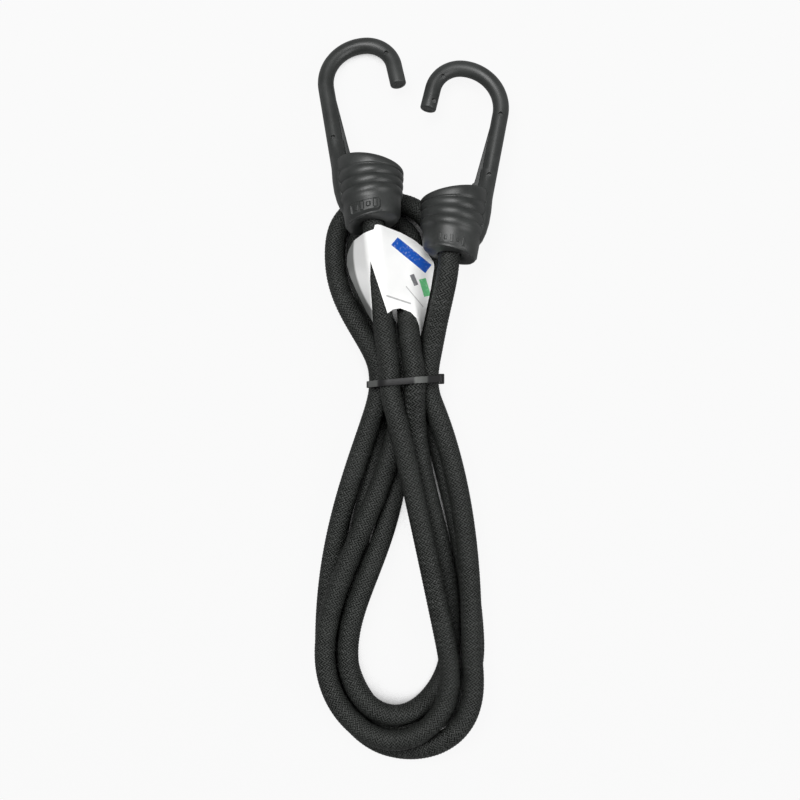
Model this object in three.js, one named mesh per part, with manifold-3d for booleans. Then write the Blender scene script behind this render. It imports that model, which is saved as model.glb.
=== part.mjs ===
// An elastic luggage cord (bungee cord) with two covered wire hooks, put away as a hank:
// the cord goes round in flat loops that a small tie draws in at the waist, its two ends
// leave the waist upwards, and each end carries a hook on a flared collar.
// Millimetres, +Z up. The cord lies flat, the hooks point along +Y.

import * as THREE from 'three';
import { mergeVertices } from 'three/addons/utils/BufferGeometryUtils.js';
import Module from 'manifold-3d';

const wasm = await Module();
wasm.setup();

// The cord: a hollow cover round a rubber core.
const cordDiameter = 9;
const sheathWall = 0.9;
const coreClearance = 0.4;
const cordSides = 6;
const cordRadius = cordDiameter / 2;
const boreRadius = cordRadius - sheathWall;
const rubberRadius = boreRadius - coreClearance;
const seatGap = 0.3;

// The strands that touch the table are cut flat by a tenth of the cord.
const flatDepth = cordDiameter / 10;

// The hank: a waist, four bottom turns and three top turns.
const strandGap = 0.45;
const strandPitch = cordDiameter + strandGap;
const waistHalfLength = 5;
const waistLift = 2.4;
const waistRowGap = 0.72;
const layerGap = 0.85;
const lowHeight = cordRadius;
const highHeight = lowHeight + cordDiameter + layerGap;
const rowRise = cordDiameter + waistRowGap;

const lowerReach = 122;
const lowerShift = -2.8;
const innerHalfWidth = 22.5;
const innerDepth = 28.2;
const ringWideShare = 1.09;
const ringDeepShare = 1.06;

const outerTopShift = -8.4;
const innerTopShift = -8.6;
const raisedTopShift = -9.5;
const outerTopReach = 59.5;
const outerTopHalfWidth = 23.1;
const outerTopDepth = 22.2;
const innerTopHalfWidth = 13;
const innerTopDepth = 12.4;
const raisedTopReach = 45;
const raisedTopHalfWidth = 10.6;
const raisedTopDepth = 12;
const archSquareness = 0.82;

const runSteps = 4;
const bottomSteps = 6;
const archSteps = 6;
const shoulderShares = [0, 0.35, 0.7, 1];

// Each run from the waist to the bottom: its place in the waist, as a share of the strand
// pitch across and as a row, its side, and how it spreads, settles and drops.
const runShares = {
  B: { slot: -0.656, row: 2, side: 1, spread: [0.92, 1.0], settle: [2.4, 1.3], drop: [1, 1] },
  C: { slot: 0.487, row: 2, side: 1, spread: [2.2, 3.4], settle: [0.8, 3.4], drop: [2, 2.7] },
  D: { slot: 1.13, row: 1, side: 1, spread: [0.95, 2.4], settle: [1, 1], drop: [1, 1] },
  S: { slot: 0.86, row: 0, side: 1, spread: [1, 1.6], settle: [1, 2], drop: [1, 2] },
  A: { slot: -1.15, row: 1, side: -1, spread: [1.2, 2.3], settle: [1, 1], drop: [1.8, 3] },
  M: { slot: -0.106, row: 1, side: -1, spread: [1.8, 1.96], settle: [2, 3], drop: [1, 1] },
  Q: { slot: -0.155, row: 0, side: -1, spread: [3.0, 2.3], settle: [4, 8], drop: [1, 1] },
  P: { slot: -1.16, row: 0, side: -1, spread: [1.7, 2], settle: [1, 2], drop: [1, 2] },
};

// Each bottom turn from its right end to its left: how many strands out it lies, and
// whether it lies on the table (0) or on top (1).
const bottomShares = {
  raised: { right: 'B', left: 'M', ring: [0, 0.62, 1.03, 1, 1], level: [1, 1.05, 1.04, 1, 1] },
  low: { right: 'S', left: 'P', ring: [1.2, 1.08, 0.57, 0.09, 0.07], level: [0, 0, 0, 0, 0] },
  dipping: { right: 'C', left: 'Q', ring: [0.13, -0.03, -0.035, 0, 0], level: [0, 0.18, 0.86, 1, 1] },
  outer: { right: 'D', left: 'A', ring: [1.02, 1.75, 1.63, 1.11, 1.02], level: [1, 0.92, 0, 0, 0] },
};

// Each top turn: its runs, its outline, and how its shoulders spread and settle, left then right.
const topShares = {
  outer: {
    left: 'A', right: 'S', shift: outerTopShift, half: outerTopHalfWidth,
    reach: outerTopReach, depth: outerTopDepth, height: lowHeight, spread: [[1.5, 2.6], [1, 1.5]], settle: [[2.6, 2.6], [1, 2]],
  },
  inner: {
    left: 'P', right: 'Q', shift: innerTopShift, half: innerTopHalfWidth,
    reach: outerTopReach, depth: innerTopDepth, height: lowHeight, spread: [[1.8, 1.8], [1, 1.5]], settle: [[1, 2], [1, 2]],
  },
  raised: {
    left: 'M', right: 'C', shift: raisedTopShift, half: raisedTopHalfWidth,
    reach: raisedTopReach, depth: raisedTopDepth, height: highHeight, spread: [[2.0, 1.6], [0.9, 2]], settle: [[1, 2], [1.4, 1]],
  },
};

// The order in which the cord goes through them: a run down, a bottom turn, a run up, a top turn.
const hankOrder = [
  ['down', 'B'], ['bottom', 'raised', 'leftward'], ['up', 'M'], ['top', 'raised', 'rightward'],
  ['down', 'C'], ['bottom', 'dipping', 'leftward'], ['up', 'Q'], ['top', 'inner', 'leftward'],
  ['down', 'P'], ['bottom', 'low', 'rightward'], ['up', 'S'], ['top', 'outer', 'leftward'],
  ['down', 'A'], ['bottom', 'outer', 'rightward'], ['up', 'D'],
];

function ease(share, [p, q]) {
  return 1 - Math.pow(1 - Math.pow(share, p), q);
}

function along(list, share) {
  const last = list.length - 1;
  const i = Math.min(Math.floor(share * last), last - 1);
  const w = share * last - i;
  const a = list[Math.max(i - 1, 0)];
  const b = list[i];
  const c = list[i + 1];
  const d = list[Math.min(i + 2, last)];
  return 0.5 * (2 * b + (c - a) * w + (2 * a - 5 * b + 4 * c - d) * w * w
    + (3 * b - a - 3 * c + d) * w * w * w);
}

function waistPlace(run) {
  const { slot, row } = runShares[run];
  return [slot * strandPitch, lowHeight + waistLift + row * rowRise];
}

function bottomPoint(name, angle) {
  const turn = bottomShares[name];
  const share = angle / Math.PI;
  const ring = along(turn.ring, share) * strandPitch;
  const level = along(turn.level, share);
  return new THREE.Vector3(
    lowerShift + (innerHalfWidth + ring * ringWideShare) * Math.cos(angle),
    -lowerReach - (innerDepth + ring * ringDeepShare) * Math.sin(angle),
    lowHeight + (highHeight - lowHeight) * level,
  );
}

function runPoint(run, share) {
  const { spread, settle, drop } = runShares[run];
  const turn = Object.keys(bottomShares)
    .find((name) => bottomShares[name].right === run || bottomShares[name].left === run);
  const end = bottomPoint(turn, bottomShares[turn].right === run ? 0 : Math.PI);
  const [x, z] = waistPlace(run);
  return new THREE.Vector3(
    x + (end.x - x) * ease(share, spread),
    -waistHalfLength + (end.y + waistHalfLength) * share,
    z + (highHeight - z) * ease(share, settle) + (end.z - highHeight) * ease(share, drop),
  );
}

function shoulderPoint(top, side, share) {
  const i = side > 0 ? 1 : 0;
  const [x, z] = waistPlace(side > 0 ? top.right : top.left);
  const endX = top.shift + side * top.half;
  return new THREE.Vector3(
    x + (endX - x) * ease(share, top.spread[i]),
    waistHalfLength + (top.reach - waistHalfLength) * share,
    z + (top.height - z) * ease(share, top.settle[i]),
  );
}

function archPoint(top, angle) {
  const c = Math.cos(angle);
  const s = Math.max(Math.sin(angle), 0);
  return new THREE.Vector3(
    top.shift + top.half * Math.sign(c) * Math.pow(Math.abs(c), archSquareness),
    top.reach + top.depth * Math.pow(s, archSquareness),
    top.height,
  );
}

function steps(count) {
  return Array.from({ length: count + 1 }, (_, i) => i / count);
}

function hankRoute() {
  const path = [];
  const add = (p) => {
    const last = path[path.length - 1];
    if (!last || last.distanceTo(p) > seatGap) path.push(p);
  };
  const [startX, startZ] = waistPlace('B');
  add(new THREE.Vector3(startX, waistHalfLength, startZ));
  for (const [kind, which, way] of hankOrder) {
    if (kind === 'down') steps(runSteps).forEach((s) => add(runPoint(which, s)));
    if (kind === 'up') steps(runSteps).forEach((s) => add(runPoint(which, 1 - s)));
    if (kind === 'bottom') {
      const turnShare = (s) => (way === 'leftward' ? s : 1 - s);
      steps(bottomSteps).forEach((s) => add(bottomPoint(which, Math.PI * turnShare(s))));
    }
    if (kind === 'top') {
      const top = topShares[which];
      const far = way === 'rightward' ? 1 : -1;
      const turnShare = (s) => (way === 'rightward' ? 1 - s : s);
      shoulderShares.forEach((s) => add(shoulderPoint(top, -far, s)));
      steps(archSteps).forEach((s) => add(archPoint(top, Math.PI * turnShare(s))));
      [...shoulderShares].reverse().forEach((s) => add(shoulderPoint(top, far, s)));
    }
  }
  const [endX, endZ] = waistPlace('D');
  add(new THREE.Vector3(endX, waistHalfLength, endZ));
  return path;
}

// The clear distance between the skins of strands that don't follow each other on the route.
function leastGap(path, diameter) {
  const points = [];
  const spacing = diameter / cordSides;
  const apart = diameter * 3;
  let length = 0;
  for (let i = 0; i + 1 < path.length; i++) {
    const span = path[i].distanceTo(path[i + 1]);
    const count = Math.max(1, Math.round(span / spacing));
    for (let j = 0; j < count; j++) {
      points.push({ p: path[i].clone().lerp(path[i + 1], j / count), s: length + span * (j / count) });
    }
    length += span;
  }
  let least = Infinity;
  for (let i = 0; i < points.length; i++) {
    for (let j = i + 1; j < points.length; j++) {
      if (points[j].s - points[i].s < apart) continue;
      least = Math.min(least, points[i].p.distanceTo(points[j].p));
    }
  }
  return { gap: least - diameter, length };
}

// Solids from points.
function geometryOf(positions, triangles) {
  let volume = 0;
  const a = new THREE.Vector3();
  const b = new THREE.Vector3();
  const c = new THREE.Vector3();
  for (const [i, j, k] of triangles) {
    a.fromArray(positions[i]);
    b.fromArray(positions[j]);
    c.fromArray(positions[k]);
    volume += a.dot(b.cross(c));
  }
  const order = volume < 0 ? triangles.map(([i, j, k]) => [i, k, j]) : triangles;
  const geometry = new THREE.BufferGeometry();
  geometry.setAttribute('position', new THREE.Float32BufferAttribute(positions.flat(), 3));
  geometry.setIndex(order.flat());
  return geometry;
}

function roundSection(radius, sides, turn = 0.5) {
  return Array.from({ length: sides }, (_, i) => {
    const angle = (i + turn) * 2 * Math.PI / sides;
    return [radius * Math.cos(angle), radius * Math.sin(angle)];
  });
}

// Sweeps a section, and its bore when it has one, along a line of points with mitred corners.
function sweep(path, section, bore = null, upward = new THREE.Vector3(0, 0, 1)) {
  const loops = bore ? [section, bore] : [section];
  const positions = [];
  const rings = [];
  for (let i = 0; i < path.length; i++) {
    const before = i > 0 ? path[i].clone().sub(path[i - 1]).normalize() : null;
    const after = i + 1 < path.length ? path[i + 1].clone().sub(path[i]).normalize() : null;
    const heading = before || after;
    const normal = before && after ? before.clone().add(after).normalize() : heading.clone();
    const frame = before && after ? before.clone().add(after).normalize() : heading.clone();
    const side = new THREE.Vector3().crossVectors(frame, upward).normalize();
    const up = new THREE.Vector3().crossVectors(side, frame);
    const stretch = before && after ? 1 / Math.sqrt((1 + before.dot(after)) / 2) : 1;
    const bend = before && after ? after.clone().sub(before) : new THREE.Vector3();
    if (bend.length() > 0) bend.normalize();
    rings.push(loops.map((loop) => loop.map(([s, u]) => {
      const q = side.clone().multiplyScalar(s).addScaledVector(up, u);
      q.addScaledVector(bend, q.dot(bend) * (stretch - 1));
      q.addScaledVector(normal, -q.dot(normal));
      positions.push(q.add(path[i]).toArray());
      return positions.length - 1;
    })));
  }
  const triangles = [];
  const quad = (a, b, c, d) => triangles.push([a, b, c], [a, c, d]);
  for (let i = 0; i + 1 < rings.length; i++) {
    loops.forEach((loop, l) => {
      for (let k = 0; k < loop.length; k++) {
        const n = (k + 1) % loop.length;
        const [r0, r1] = [rings[i][l], rings[i + 1][l]];
        if (l === 0) quad(r0[k], r0[n], r1[n], r1[k]);
        else quad(r0[k], r1[k], r1[n], r0[n]);
      }
    });
  }
  for (const [ring, first] of [[rings[0], true], [rings[rings.length - 1], false]]) {
    const outer = ring[0];
    if (bore) {
      for (let k = 0; k < outer.length; k++) {
        const n = (k + 1) % outer.length;
        if (first) quad(outer[n], outer[k], ring[1][k], ring[1][n]);
        else quad(outer[k], outer[n], ring[1][n], ring[1][k]);
      }
    } else {
      for (let k = 1; k + 1 < outer.length; k++) {
        triangles.push(first ? [outer[0], outer[k + 1], outer[k]] : [outer[0], outer[k], outer[k + 1]]);
      }
    }
  }
  return geometryOf(positions, triangles);
}

// Turns a closed outline of [radius, height] about the local Y axis.
function turned(outline, sides) {
  const points = outline.map(([r, h]) => new THREE.Vector2(r, h));
  points.push(points[0].clone());
  return new THREE.LatheGeometry(points, sides);
}

function slab(outline, thickness, start = 0) {
  const shape = new THREE.Shape(outline.map(([x, y]) => new THREE.Vector2(x, y)));
  const geometry = new THREE.ExtrudeGeometry(shape, { depth: thickness, bevelEnabled: false });
  geometry.translate(0, 0, start);
  return geometry;
}

function solidOf(source) {
  const geometry = source.clone();
  geometry.deleteAttribute('normal');
  geometry.deleteAttribute('uv');
  const merged = mergeVertices(geometry);
  const vertices = merged.attributes.position.array;
  const index = merged.index.array;
  const kept = [];
  let volume = 0;
  const corner = (i) => new THREE.Vector3(vertices[3 * i], vertices[3 * i + 1], vertices[3 * i + 2]);
  for (let i = 0; i < index.length; i += 3) {
    const [a, b, c] = [index[i], index[i + 1], index[i + 2]];
    if (a === b || b === c || a === c) continue;
    kept.push([a, b, c]);
    volume += corner(a).dot(corner(b).cross(corner(c)));
  }
  const triangles = volume < 0 ? kept.map(([a, b, c]) => [a, c, b]) : kept;
  return new wasm.Manifold(new wasm.Mesh({
    numProp: 3,
    vertProperties: Float32Array.from(vertices),
    triVerts: Uint32Array.from(triangles.flat()),
  }));
}

function geometryFrom(solid) {
  const mesh = solid.getMesh();
  const geometry = new THREE.BufferGeometry();
  geometry.setAttribute('position', new THREE.Float32BufferAttribute(mesh.vertProperties, 3));
  geometry.setIndex(Array.from(mesh.triVerts));
  return geometry;
}

const material = (color, roughness, metalness = 0) =>
  new THREE.MeshStandardMaterial({ color, roughness, metalness, flatShading: true });
const cordCover = material(0x17181a, 0.85);
const rubber = material(0x6b5f4c, 0.9);
const hookPlastic = material(0x3c3e40, 0.45);
const wireSteel = material(0xb9bdc1, 0.35, 1);
const clipSteel = material(0xa9adb2, 0.4, 1);
const tiePlastic = material(0x4a4c4f, 0.5);
const labelFilm = material(0xf1f1ee, 0.4);

const bungee = new THREE.Group();

function place(parent, name, geometry, look) {
  geometry.deleteAttribute('uv');
  geometry.computeVertexNormals();
  const mesh = new THREE.Mesh(geometry, look);
  mesh.name = name;
  parent.add(mesh);
  return mesh;
}

// The hook, in its own frame.
// Origin where the cord leaves the collar, +Y along the collar to the hook's top,
// +X to the side of the hook's tip, +Z out of the hook's face.
const hookLength = 91.2;
const coverRadius = 3.6;
const hookSides = 10;
const wireRadius = 1.75;
const wireClearance = 0.3;
const bendShift = 1.5;
const backBendRadius = 18.6;
const tipBendRadius = 12.7;
const tipStraight = 10.3;
const shankRootReach = 12;
const shankRootDepth = 17;
const wireTipCover = 3;
const backOverrunAngle = 10 * Math.PI / 180;
const bendStepAngle = 15 * Math.PI / 180;

const collarLength = 27.2;
const collarSmallRadius = 11.7;
const collarRimRadius = 15;
const collarWall = 4.2;
const rimBandLength = 5;
const collarSides = 24;
const ribCount = 3;
const ribHeight = 0.6;
const ribZoneStart = 9.6;
const mouthClearance = 0.5;
const mouthRadius = cordRadius + mouthClearance;
const mouthLength = 8.6;
const throatRadius = 8;
const bossRadius = 3.8;
const collarEdge = 0.8;
const skewAngle = 9 * Math.PI / 180;
const rimSkewAngle = 13 * Math.PI / 180;
const levelShare = 0.77;

const plateLength = 16.5;
const plateHeight = 6.6;
const plateRaise = 0.8;
const plateStart = 2.9;
const plateShift = -4;
const barWidth = 1.3;
const barRaise = 0.25;
const barHeightShares = [0.62, 0.4, 0.62, 0.3, 0.62];

const webFoot = 2;
const webEnd = 66;
const webWidth = 2.8;
const webFillet = 3.2;
const webThickness = 3.4;

const pinRadius = 0.9;
const shankPinReach = 41.2;
const footPinReach = 37.5;
const pinInset = 1.3;
const tipPinAngle = 34 * Math.PI / 180;
const crownPinAngle = 38 * Math.PI / 180;
const mouthPinDrop = 5.1;
const cheekPinAngle = 188.5 * Math.PI / 180;

const backBendHeight = hookLength - coverRadius - backBendRadius;
const tipBendHeight = hookLength - coverRadius - tipBendRadius;

// The hook's centre line, from inside the collar wall round to the tip.
function hookLine(rootDepth, tipShort) {
  const line = [];
  const at = (x, y) => line.push(new THREE.Vector3(x, y, 0));
  at(-shankRootReach, rootDepth);
  at(-shankRootReach, collarLength);
  const backSteps = Math.round((Math.PI / 2 + backOverrunAngle) / bendStepAngle);
  for (let i = backSteps; i >= 0; i--) {
    const angle = Math.PI / 2 + (Math.PI / 2 + backOverrunAngle) * (i / backSteps);
    at(bendShift + backBendRadius * Math.cos(angle), backBendHeight + backBendRadius * Math.sin(angle));
  }
  const tipSteps = Math.round(Math.PI / 2 / bendStepAngle);
  for (let i = 1; i <= tipSteps; i++) {
    const angle = Math.PI / 2 * (1 - i / tipSteps);
    at(bendShift + tipBendRadius * Math.cos(angle), tipBendHeight + tipBendRadius * Math.sin(angle));
  }
  at(bendShift + tipBendRadius, tipBendHeight - tipStraight + tipShort);
  return line;
}

const collarRadiusAt = (h) => collarSmallRadius
  + (collarRimRadius - collarSmallRadius) * (h / collarLength);

function collarOutline() {
  const radiusAt = collarRadiusAt;
  const outline = [[mouthRadius, 0], [collarSmallRadius - collarEdge, 0], [collarSmallRadius, collarEdge]];
  const ribZone = collarLength - rimBandLength - ribZoneStart;
  const ribPitch = ribZone / ribCount;
  for (let i = 0; i < ribCount; i++) {
    const h = ribZoneStart + ribPitch * i;
    outline.push([radiusAt(h), h]);
    outline.push([radiusAt(h + ribPitch * 0.25) + ribHeight, h + ribPitch * 0.25]);
    outline.push([radiusAt(h + ribPitch * 0.75) + ribHeight, h + ribPitch * 0.75]);
  }
  const band = collarLength - rimBandLength;
  outline.push([radiusAt(band), band]);
  outline.push([collarRimRadius, band + collarEdge]);
  outline.push([collarRimRadius, collarLength - collarEdge]);
  outline.push([collarRimRadius - collarEdge, collarLength]);
  outline.push([collarRimRadius - collarWall, collarLength]);
  outline.push([throatRadius, mouthLength]);
  outline.push([mouthRadius, mouthLength]);
  return outline;
}

// The small end slants: on the shank's side it lies nearer the cord. The rim slants the other way.
function skewed(geometry) {
  const position = geometry.attributes.position;
  for (let i = 0; i < position.count; i++) {
    const [x, y, z] = [position.getX(i), position.getY(i), position.getZ(i)];
    const share = Math.min(Math.max(y / collarLength, 0), 1);
    const outside = Math.min(Math.max(
      (Math.hypot(x, z) - throatRadius) / (collarSmallRadius - collarEdge - throatRadius), 0), 1);
    const slant = share < levelShare
      ? Math.tan(skewAngle) * (1 - share / levelShare)
      : -Math.tan(rimSkewAngle) * (share - levelShare) / (1 - levelShare);
    position.setY(i, y + slant * x * outside);
  }
  return geometry;
}

function hookShell() {
  const faceUp = new THREE.Vector3(0, 0, 1);
  const collar = solidOf(skewed(turned(collarOutline(), collarSides)));
  const shankLine = hookLine(shankRootDepth, 0);
  const shank = solidOf(sweep(shankLine, roundSection(coverRadius, hookSides, 0), null, faceUp));

  // The boss carries the wire's foot down the inside of the cup wall.
  const footDepth = shankRootDepth - coverRadius;
  const boss = solidOf(sweep(
    [new THREE.Vector3(-shankRootReach, footDepth, 0), new THREE.Vector3(-shankRootReach, collarLength, 0)],
    roundSection(bossRadius, hookSides, 0), null, faceUp,
  ));

  // A thin web stiffens the inside of the shank and runs out into the rim.
  const bendStart = backBendHeight - backBendRadius * Math.sin(backOverrunAngle);
  const bendStartShift = bendShift - backBendRadius * Math.cos(backOverrunAngle);
  const shankAt = (y) => -shankRootReach
    + (bendStartShift + shankRootReach) * Math.max(y - collarLength, 0) / (bendStart - collarLength);
  const inside = (y, extra) => [shankAt(y) + coverRadius + extra, y];
  const webMiddle = (webEnd + collarLength) / 2;
  const webOutline = [
    [-shankRootReach, collarLength - webFoot],
    inside(collarLength - webFoot, webWidth + webFillet),
    inside(collarLength, webWidth + webFillet),
    inside(collarLength + webFillet * 0.25, webWidth + webFillet * 0.35),
    inside(collarLength + webFillet, webWidth),
    inside(webMiddle, webWidth * 0.55),
    inside(webEnd, -coverRadius * 0.3),
    [shankAt(webEnd), webEnd],
  ];
  const web = solidOf(slab(webOutline, webThickness, -webThickness / 2));

  // A raised plate near the small end, with plain bars in place of any lettering.
  const plateFace = collarRimRadius;
  const plateBase = collarSmallRadius * 0.7;
  const half = plateLength / 2;
  const plateSolid = solidOf(skewed(slab([
    [plateShift - half, plateStart], [plateShift + half, plateStart],
    [plateShift + half, plateStart + plateHeight], [plateShift - half, plateStart + plateHeight],
  ], plateFace - plateBase, plateBase)));
  const plateEnd = plateStart + plateHeight + collarEdge;
  const shellAt = (raise) => solidOf(skewed(turned([
    [mouthRadius + collarEdge, plateStart - collarEdge],
    [collarRadiusAt(plateStart - collarEdge) + raise, plateStart - collarEdge],
    [collarRadiusAt(plateEnd) + raise, plateEnd],
    [mouthRadius + collarEdge, plateEnd],
  ], collarSides)));
  const plate = plateSolid.intersect(shellAt(plateRaise));
  let bars = null;
  barHeightShares.forEach((share, i) => {
    const x = plateShift - half + plateLength * (i + 1) / (barHeightShares.length + 1);
    const y = plateStart + plateHeight * (1 - share) / 2;
    const bar = solidOf(skewed(slab([
      [x - barWidth / 2, y], [x + barWidth / 2, y],
      [x + barWidth / 2, y + plateHeight * share], [x - barWidth / 2, y + plateHeight * share],
    ], plateFace - plateBase, plateBase)));
    bars = bars ? bars.add(bar) : bar;
  });
  const lettering = bars.intersect(shellAt(plateRaise + barRaise));

  let solid = collar.add(shank).add(boss).add(web).add(plate).add(lettering);

  const cavity = solidOf(sweep(
    hookLine(shankRootDepth, wireTipCover - wireClearance),
    roundSection(wireRadius + wireClearance, hookSides - 2, 0), null, faceUp,
  ));
  solid = solid.subtract(cavity);

  // Holes that the mould's pins leave, where they held the wire: two on the face, four on the back.
  const onTip = (angle) => [
    bendShift + (tipBendRadius - pinInset) * Math.cos(angle),
    tipBendHeight + (tipBendRadius - pinInset) * Math.sin(angle),
  ];
  const onBack = (angle) => [
    bendShift + backBendRadius * Math.cos(angle), backBendHeight + backBendRadius * Math.sin(angle),
  ];
  const [bendStartX, bendStartY] = onBack(Math.PI + backOverrunAngle);
  const onShank = (y) => [
    -shankRootReach + (bendStartX + shankRootReach) * (y - collarLength) / (bendStartY - collarLength), y,
  ];
  const [tipX, tipY] = onTip(0);
  const pin = ([x, y], start) => {
    const hole = new THREE.CylinderGeometry(pinRadius, pinRadius, coverRadius * 2, hookSides - 2);
    hole.rotateX(Math.PI / 2);
    hole.translate(x, y, start + coverRadius);
    solid = solid.subtract(solidOf(hole));
  };
  [onTip(tipPinAngle), onShank(shankPinReach)].forEach((p) => pin(p, 0));
  [onTip(crownPinAngle), [tipX, tipY - mouthPinDrop], onBack(cheekPinAngle), onShank(footPinReach)]
    .forEach((p) => pin(p, -coverRadius * 2));
  return geometryFrom(solid);
}

function hookWire() {
  const line = hookLine(shankRootDepth + wireClearance, wireTipCover);
  return sweep(line, roundSection(wireRadius, hookSides - 2, 0), null, new THREE.Vector3(0, 0, 1));
}

// The cord's end in the cup, with the bent strip that is crimped round it.
const endLength = 16;
const clipWidth = 5;
const clipThickness = 1.5;
const clipGapAngle = 40 * Math.PI / 180;
const clipSteps = 16;
const clipSeat = mouthLength + seatGap;
const endSides = 12;

function cordEnd(radius, bore, inset) {
  const path = [new THREE.Vector3(0, inset, 0), new THREE.Vector3(0, endLength - inset, 0)];
  return sweep(path, roundSection(radius, endSides), bore ? roundSection(bore, endSides) : null);
}

function cordClip() {
  const inner = cordRadius + seatGap;
  const outer = inner + clipThickness;
  const outline = [];
  const span = 2 * Math.PI - clipGapAngle;
  const at = (radius, i) => {
    const angle = clipGapAngle / 2 + span * (i / clipSteps);
    outline.push([radius * Math.cos(angle), radius * Math.sin(angle)]);
  };
  for (let i = 0; i <= clipSteps; i++) at(outer, i);
  for (let i = clipSteps; i >= 0; i--) at(inner / Math.cos(span / clipSteps / 2), i);
  const ring = slab(outline, clipWidth);
  ring.rotateX(Math.PI / 2);
  ring.translate(0, clipSeat + clipWidth, 0);
  return ring;
}

// Where the two hooks lie.
const tipLift = 0.3;
const restGap = 1.1;
const hookTopHeight = flatDepth + tipLift + coverRadius;
const leftExitX = -13.5;
const leftExitY = 68.5;
const rightExitX = 19.8;
const rightExitY = 55.2;
const rightExitHeight = 26.4;
const leftLean = 4 * Math.PI / 180;
const rightLean = -5.5 * Math.PI / 180;
const rightTilt = 11 * Math.PI / 180;
const topReach = hookLength - coverRadius;

// The left collar lies over the outer top turn: its tilt follows from both resting places.
function tiltOver(exitY) {
  const apart = collarSmallRadius + (collarRimRadius - collarSmallRadius) * (endLength / collarLength)
    + ribHeight + cordRadius + restGap;
  const crest = outerTopReach + outerTopDepth;
  const miss = (t) => (hookTopHeight - lowHeight) * Math.cos(t)
    + (exitY + topReach * Math.cos(t) - crest) * Math.sin(t) - apart;
  let low = 0;
  let high = Math.PI / 4;
  for (let i = 0; i < 60; i++) {
    const middle = (low + high) / 2;
    if (miss(middle) < 0) low = middle;
    else high = middle;
  }
  return (low + high) / 2;
}

const leftTilt = tiltOver(leftExitY);
const leftExitHeight = hookTopHeight + topReach * Math.sin(leftTilt);

function hookFrame(x, y, z, lean, tilt) {
  const forward = new THREE.Vector3(
    -Math.sin(lean) * Math.cos(tilt), Math.cos(lean) * Math.cos(tilt), -Math.sin(tilt),
  );
  const side = new THREE.Vector3().crossVectors(forward, new THREE.Vector3(0, 0, 1)).normalize();
  const face = new THREE.Vector3().crossVectors(side, forward);
  return { origin: new THREE.Vector3(x, y, z), forward, side, face };
}

const leftFrame = hookFrame(leftExitX, leftExitY, leftExitHeight, leftLean, leftTilt);
const rightFrame = hookFrame(rightExitX, rightExitY, rightExitHeight, rightLean, rightTilt);

function hookGroup(prefix, frame, flipped) {
  const group = new THREE.Group();
  const basis = new THREE.Matrix4().makeBasis(frame.side, frame.forward, frame.face);
  group.quaternion.setFromRotationMatrix(basis);
  group.position.copy(frame.origin);
  const body = new THREE.Group();
  if (flipped) body.rotation.y = Math.PI;
  place(body, `${prefix}_hook_shell`, hookShell(), hookPlastic);
  place(body, `${prefix}_hook_core`, hookWire(), wireSteel);
  place(group, `${prefix}_cord_clip`, cordClip(), clipSteel);
  place(group, `${prefix}_cord_end_sheath`, cordEnd(cordRadius, boreRadius, seatGap / 2), cordCover);
  place(group, `${prefix}_cord_end_core`, cordEnd(rubberRadius, 0, seatGap / 2), rubber);
  group.add(body);
  bungee.add(group);
}

// The cord pieces.
const hexSection = roundSection(cordRadius, cordSides, 0);
const hexBore = roundSection(boreRadius, cordSides, 0);
const hexCore = roundSection(rubberRadius, cordSides, 0);

function tableCut(geometry) {
  const reach = lowerReach * 2;
  const block = new THREE.BoxGeometry(reach * 2, reach * 2, cordDiameter);
  block.translate(0, 0, flatDepth - cordDiameter / 2);
  return geometryFrom(solidOf(geometry).subtract(solidOf(block)));
}

const hankPath = hankRoute();
const measured = leastGap(hankPath, cordDiameter);
console.log(`hank: ${hankPath.length} points, length ${measured.length.toFixed(0)} mm, `
  + `least gap to itself ${measured.gap.toFixed(2)} mm`);

const hank = new THREE.Group();
bungee.add(hank);
place(hank, 'cord_hank_sheath', tableCut(sweep(hankPath, hexSection, hexBore)), cordCover);
place(hank, 'cord_hank_core', sweep(hankPath, hexCore), rubber);

// The two stretches from the waist up to the hooks, through hand-placed points.
const leftLegRoute = [[-7.6, 14, 26.4], [-9.4, 27, 27.2], [-11.0, 42, 28.6]];
const rightLegRoute = [[12.4, 14, 18.0], [14.6, 26, 22.0], [17.0, 37, 26.6]];
const legStraight = cordDiameter;

function legPath(run, route, frame) {
  const [x, z] = waistPlace(run);
  const start = new THREE.Vector3(x, waistHalfLength + seatGap, z);
  const straight = new THREE.Vector3(x, waistHalfLength + legStraight * 0.5, z);
  const before = frame.origin.clone().addScaledVector(frame.forward, -legStraight);
  const end = frame.origin.clone().addScaledVector(frame.forward, -seatGap / 2);
  return [start, straight, ...route.map((p) => new THREE.Vector3(...p)), before, end];
}

for (const [name, run, route, frame] of [
  ['left', 'B', leftLegRoute, leftFrame],
  ['right', 'D', rightLegRoute, rightFrame],
]) {
  const path = legPath(run, route, frame);
  place(hank, `cord_leg_${name}_sheath`, sweep(path, hexSection, hexBore), cordCover);
  place(hank, `cord_leg_${name}_core`, sweep(path, hexCore), rubber);
}

hookGroup('left', leftFrame, false);
hookGroup('right', rightFrame, true);

// The tie round the waist.
const tieWidth = 3;
const tieThickness = 1.1;
const tieHeadLength = 4.6;
const tieHeadWidth = 4.6;
const tieTail = 3;
const tieArcSteps = 16;

function hull(points) {
  const sorted = [...points].sort((a, b) => a[0] - b[0] || a[1] - b[1]);
  const turn = (o, a, b) => (a[0] - o[0]) * (b[1] - o[1]) - (a[1] - o[1]) * (b[0] - o[0]);
  const half = (list) => {
    const out = [];
    for (const p of list) {
      while (out.length > 1 && turn(out[out.length - 2], out[out.length - 1], p) <= 0) out.pop();
      out.push(p);
    }
    return out.slice(0, -1);
  };
  return [...half(sorted), ...half(sorted.reverse())];
}

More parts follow.
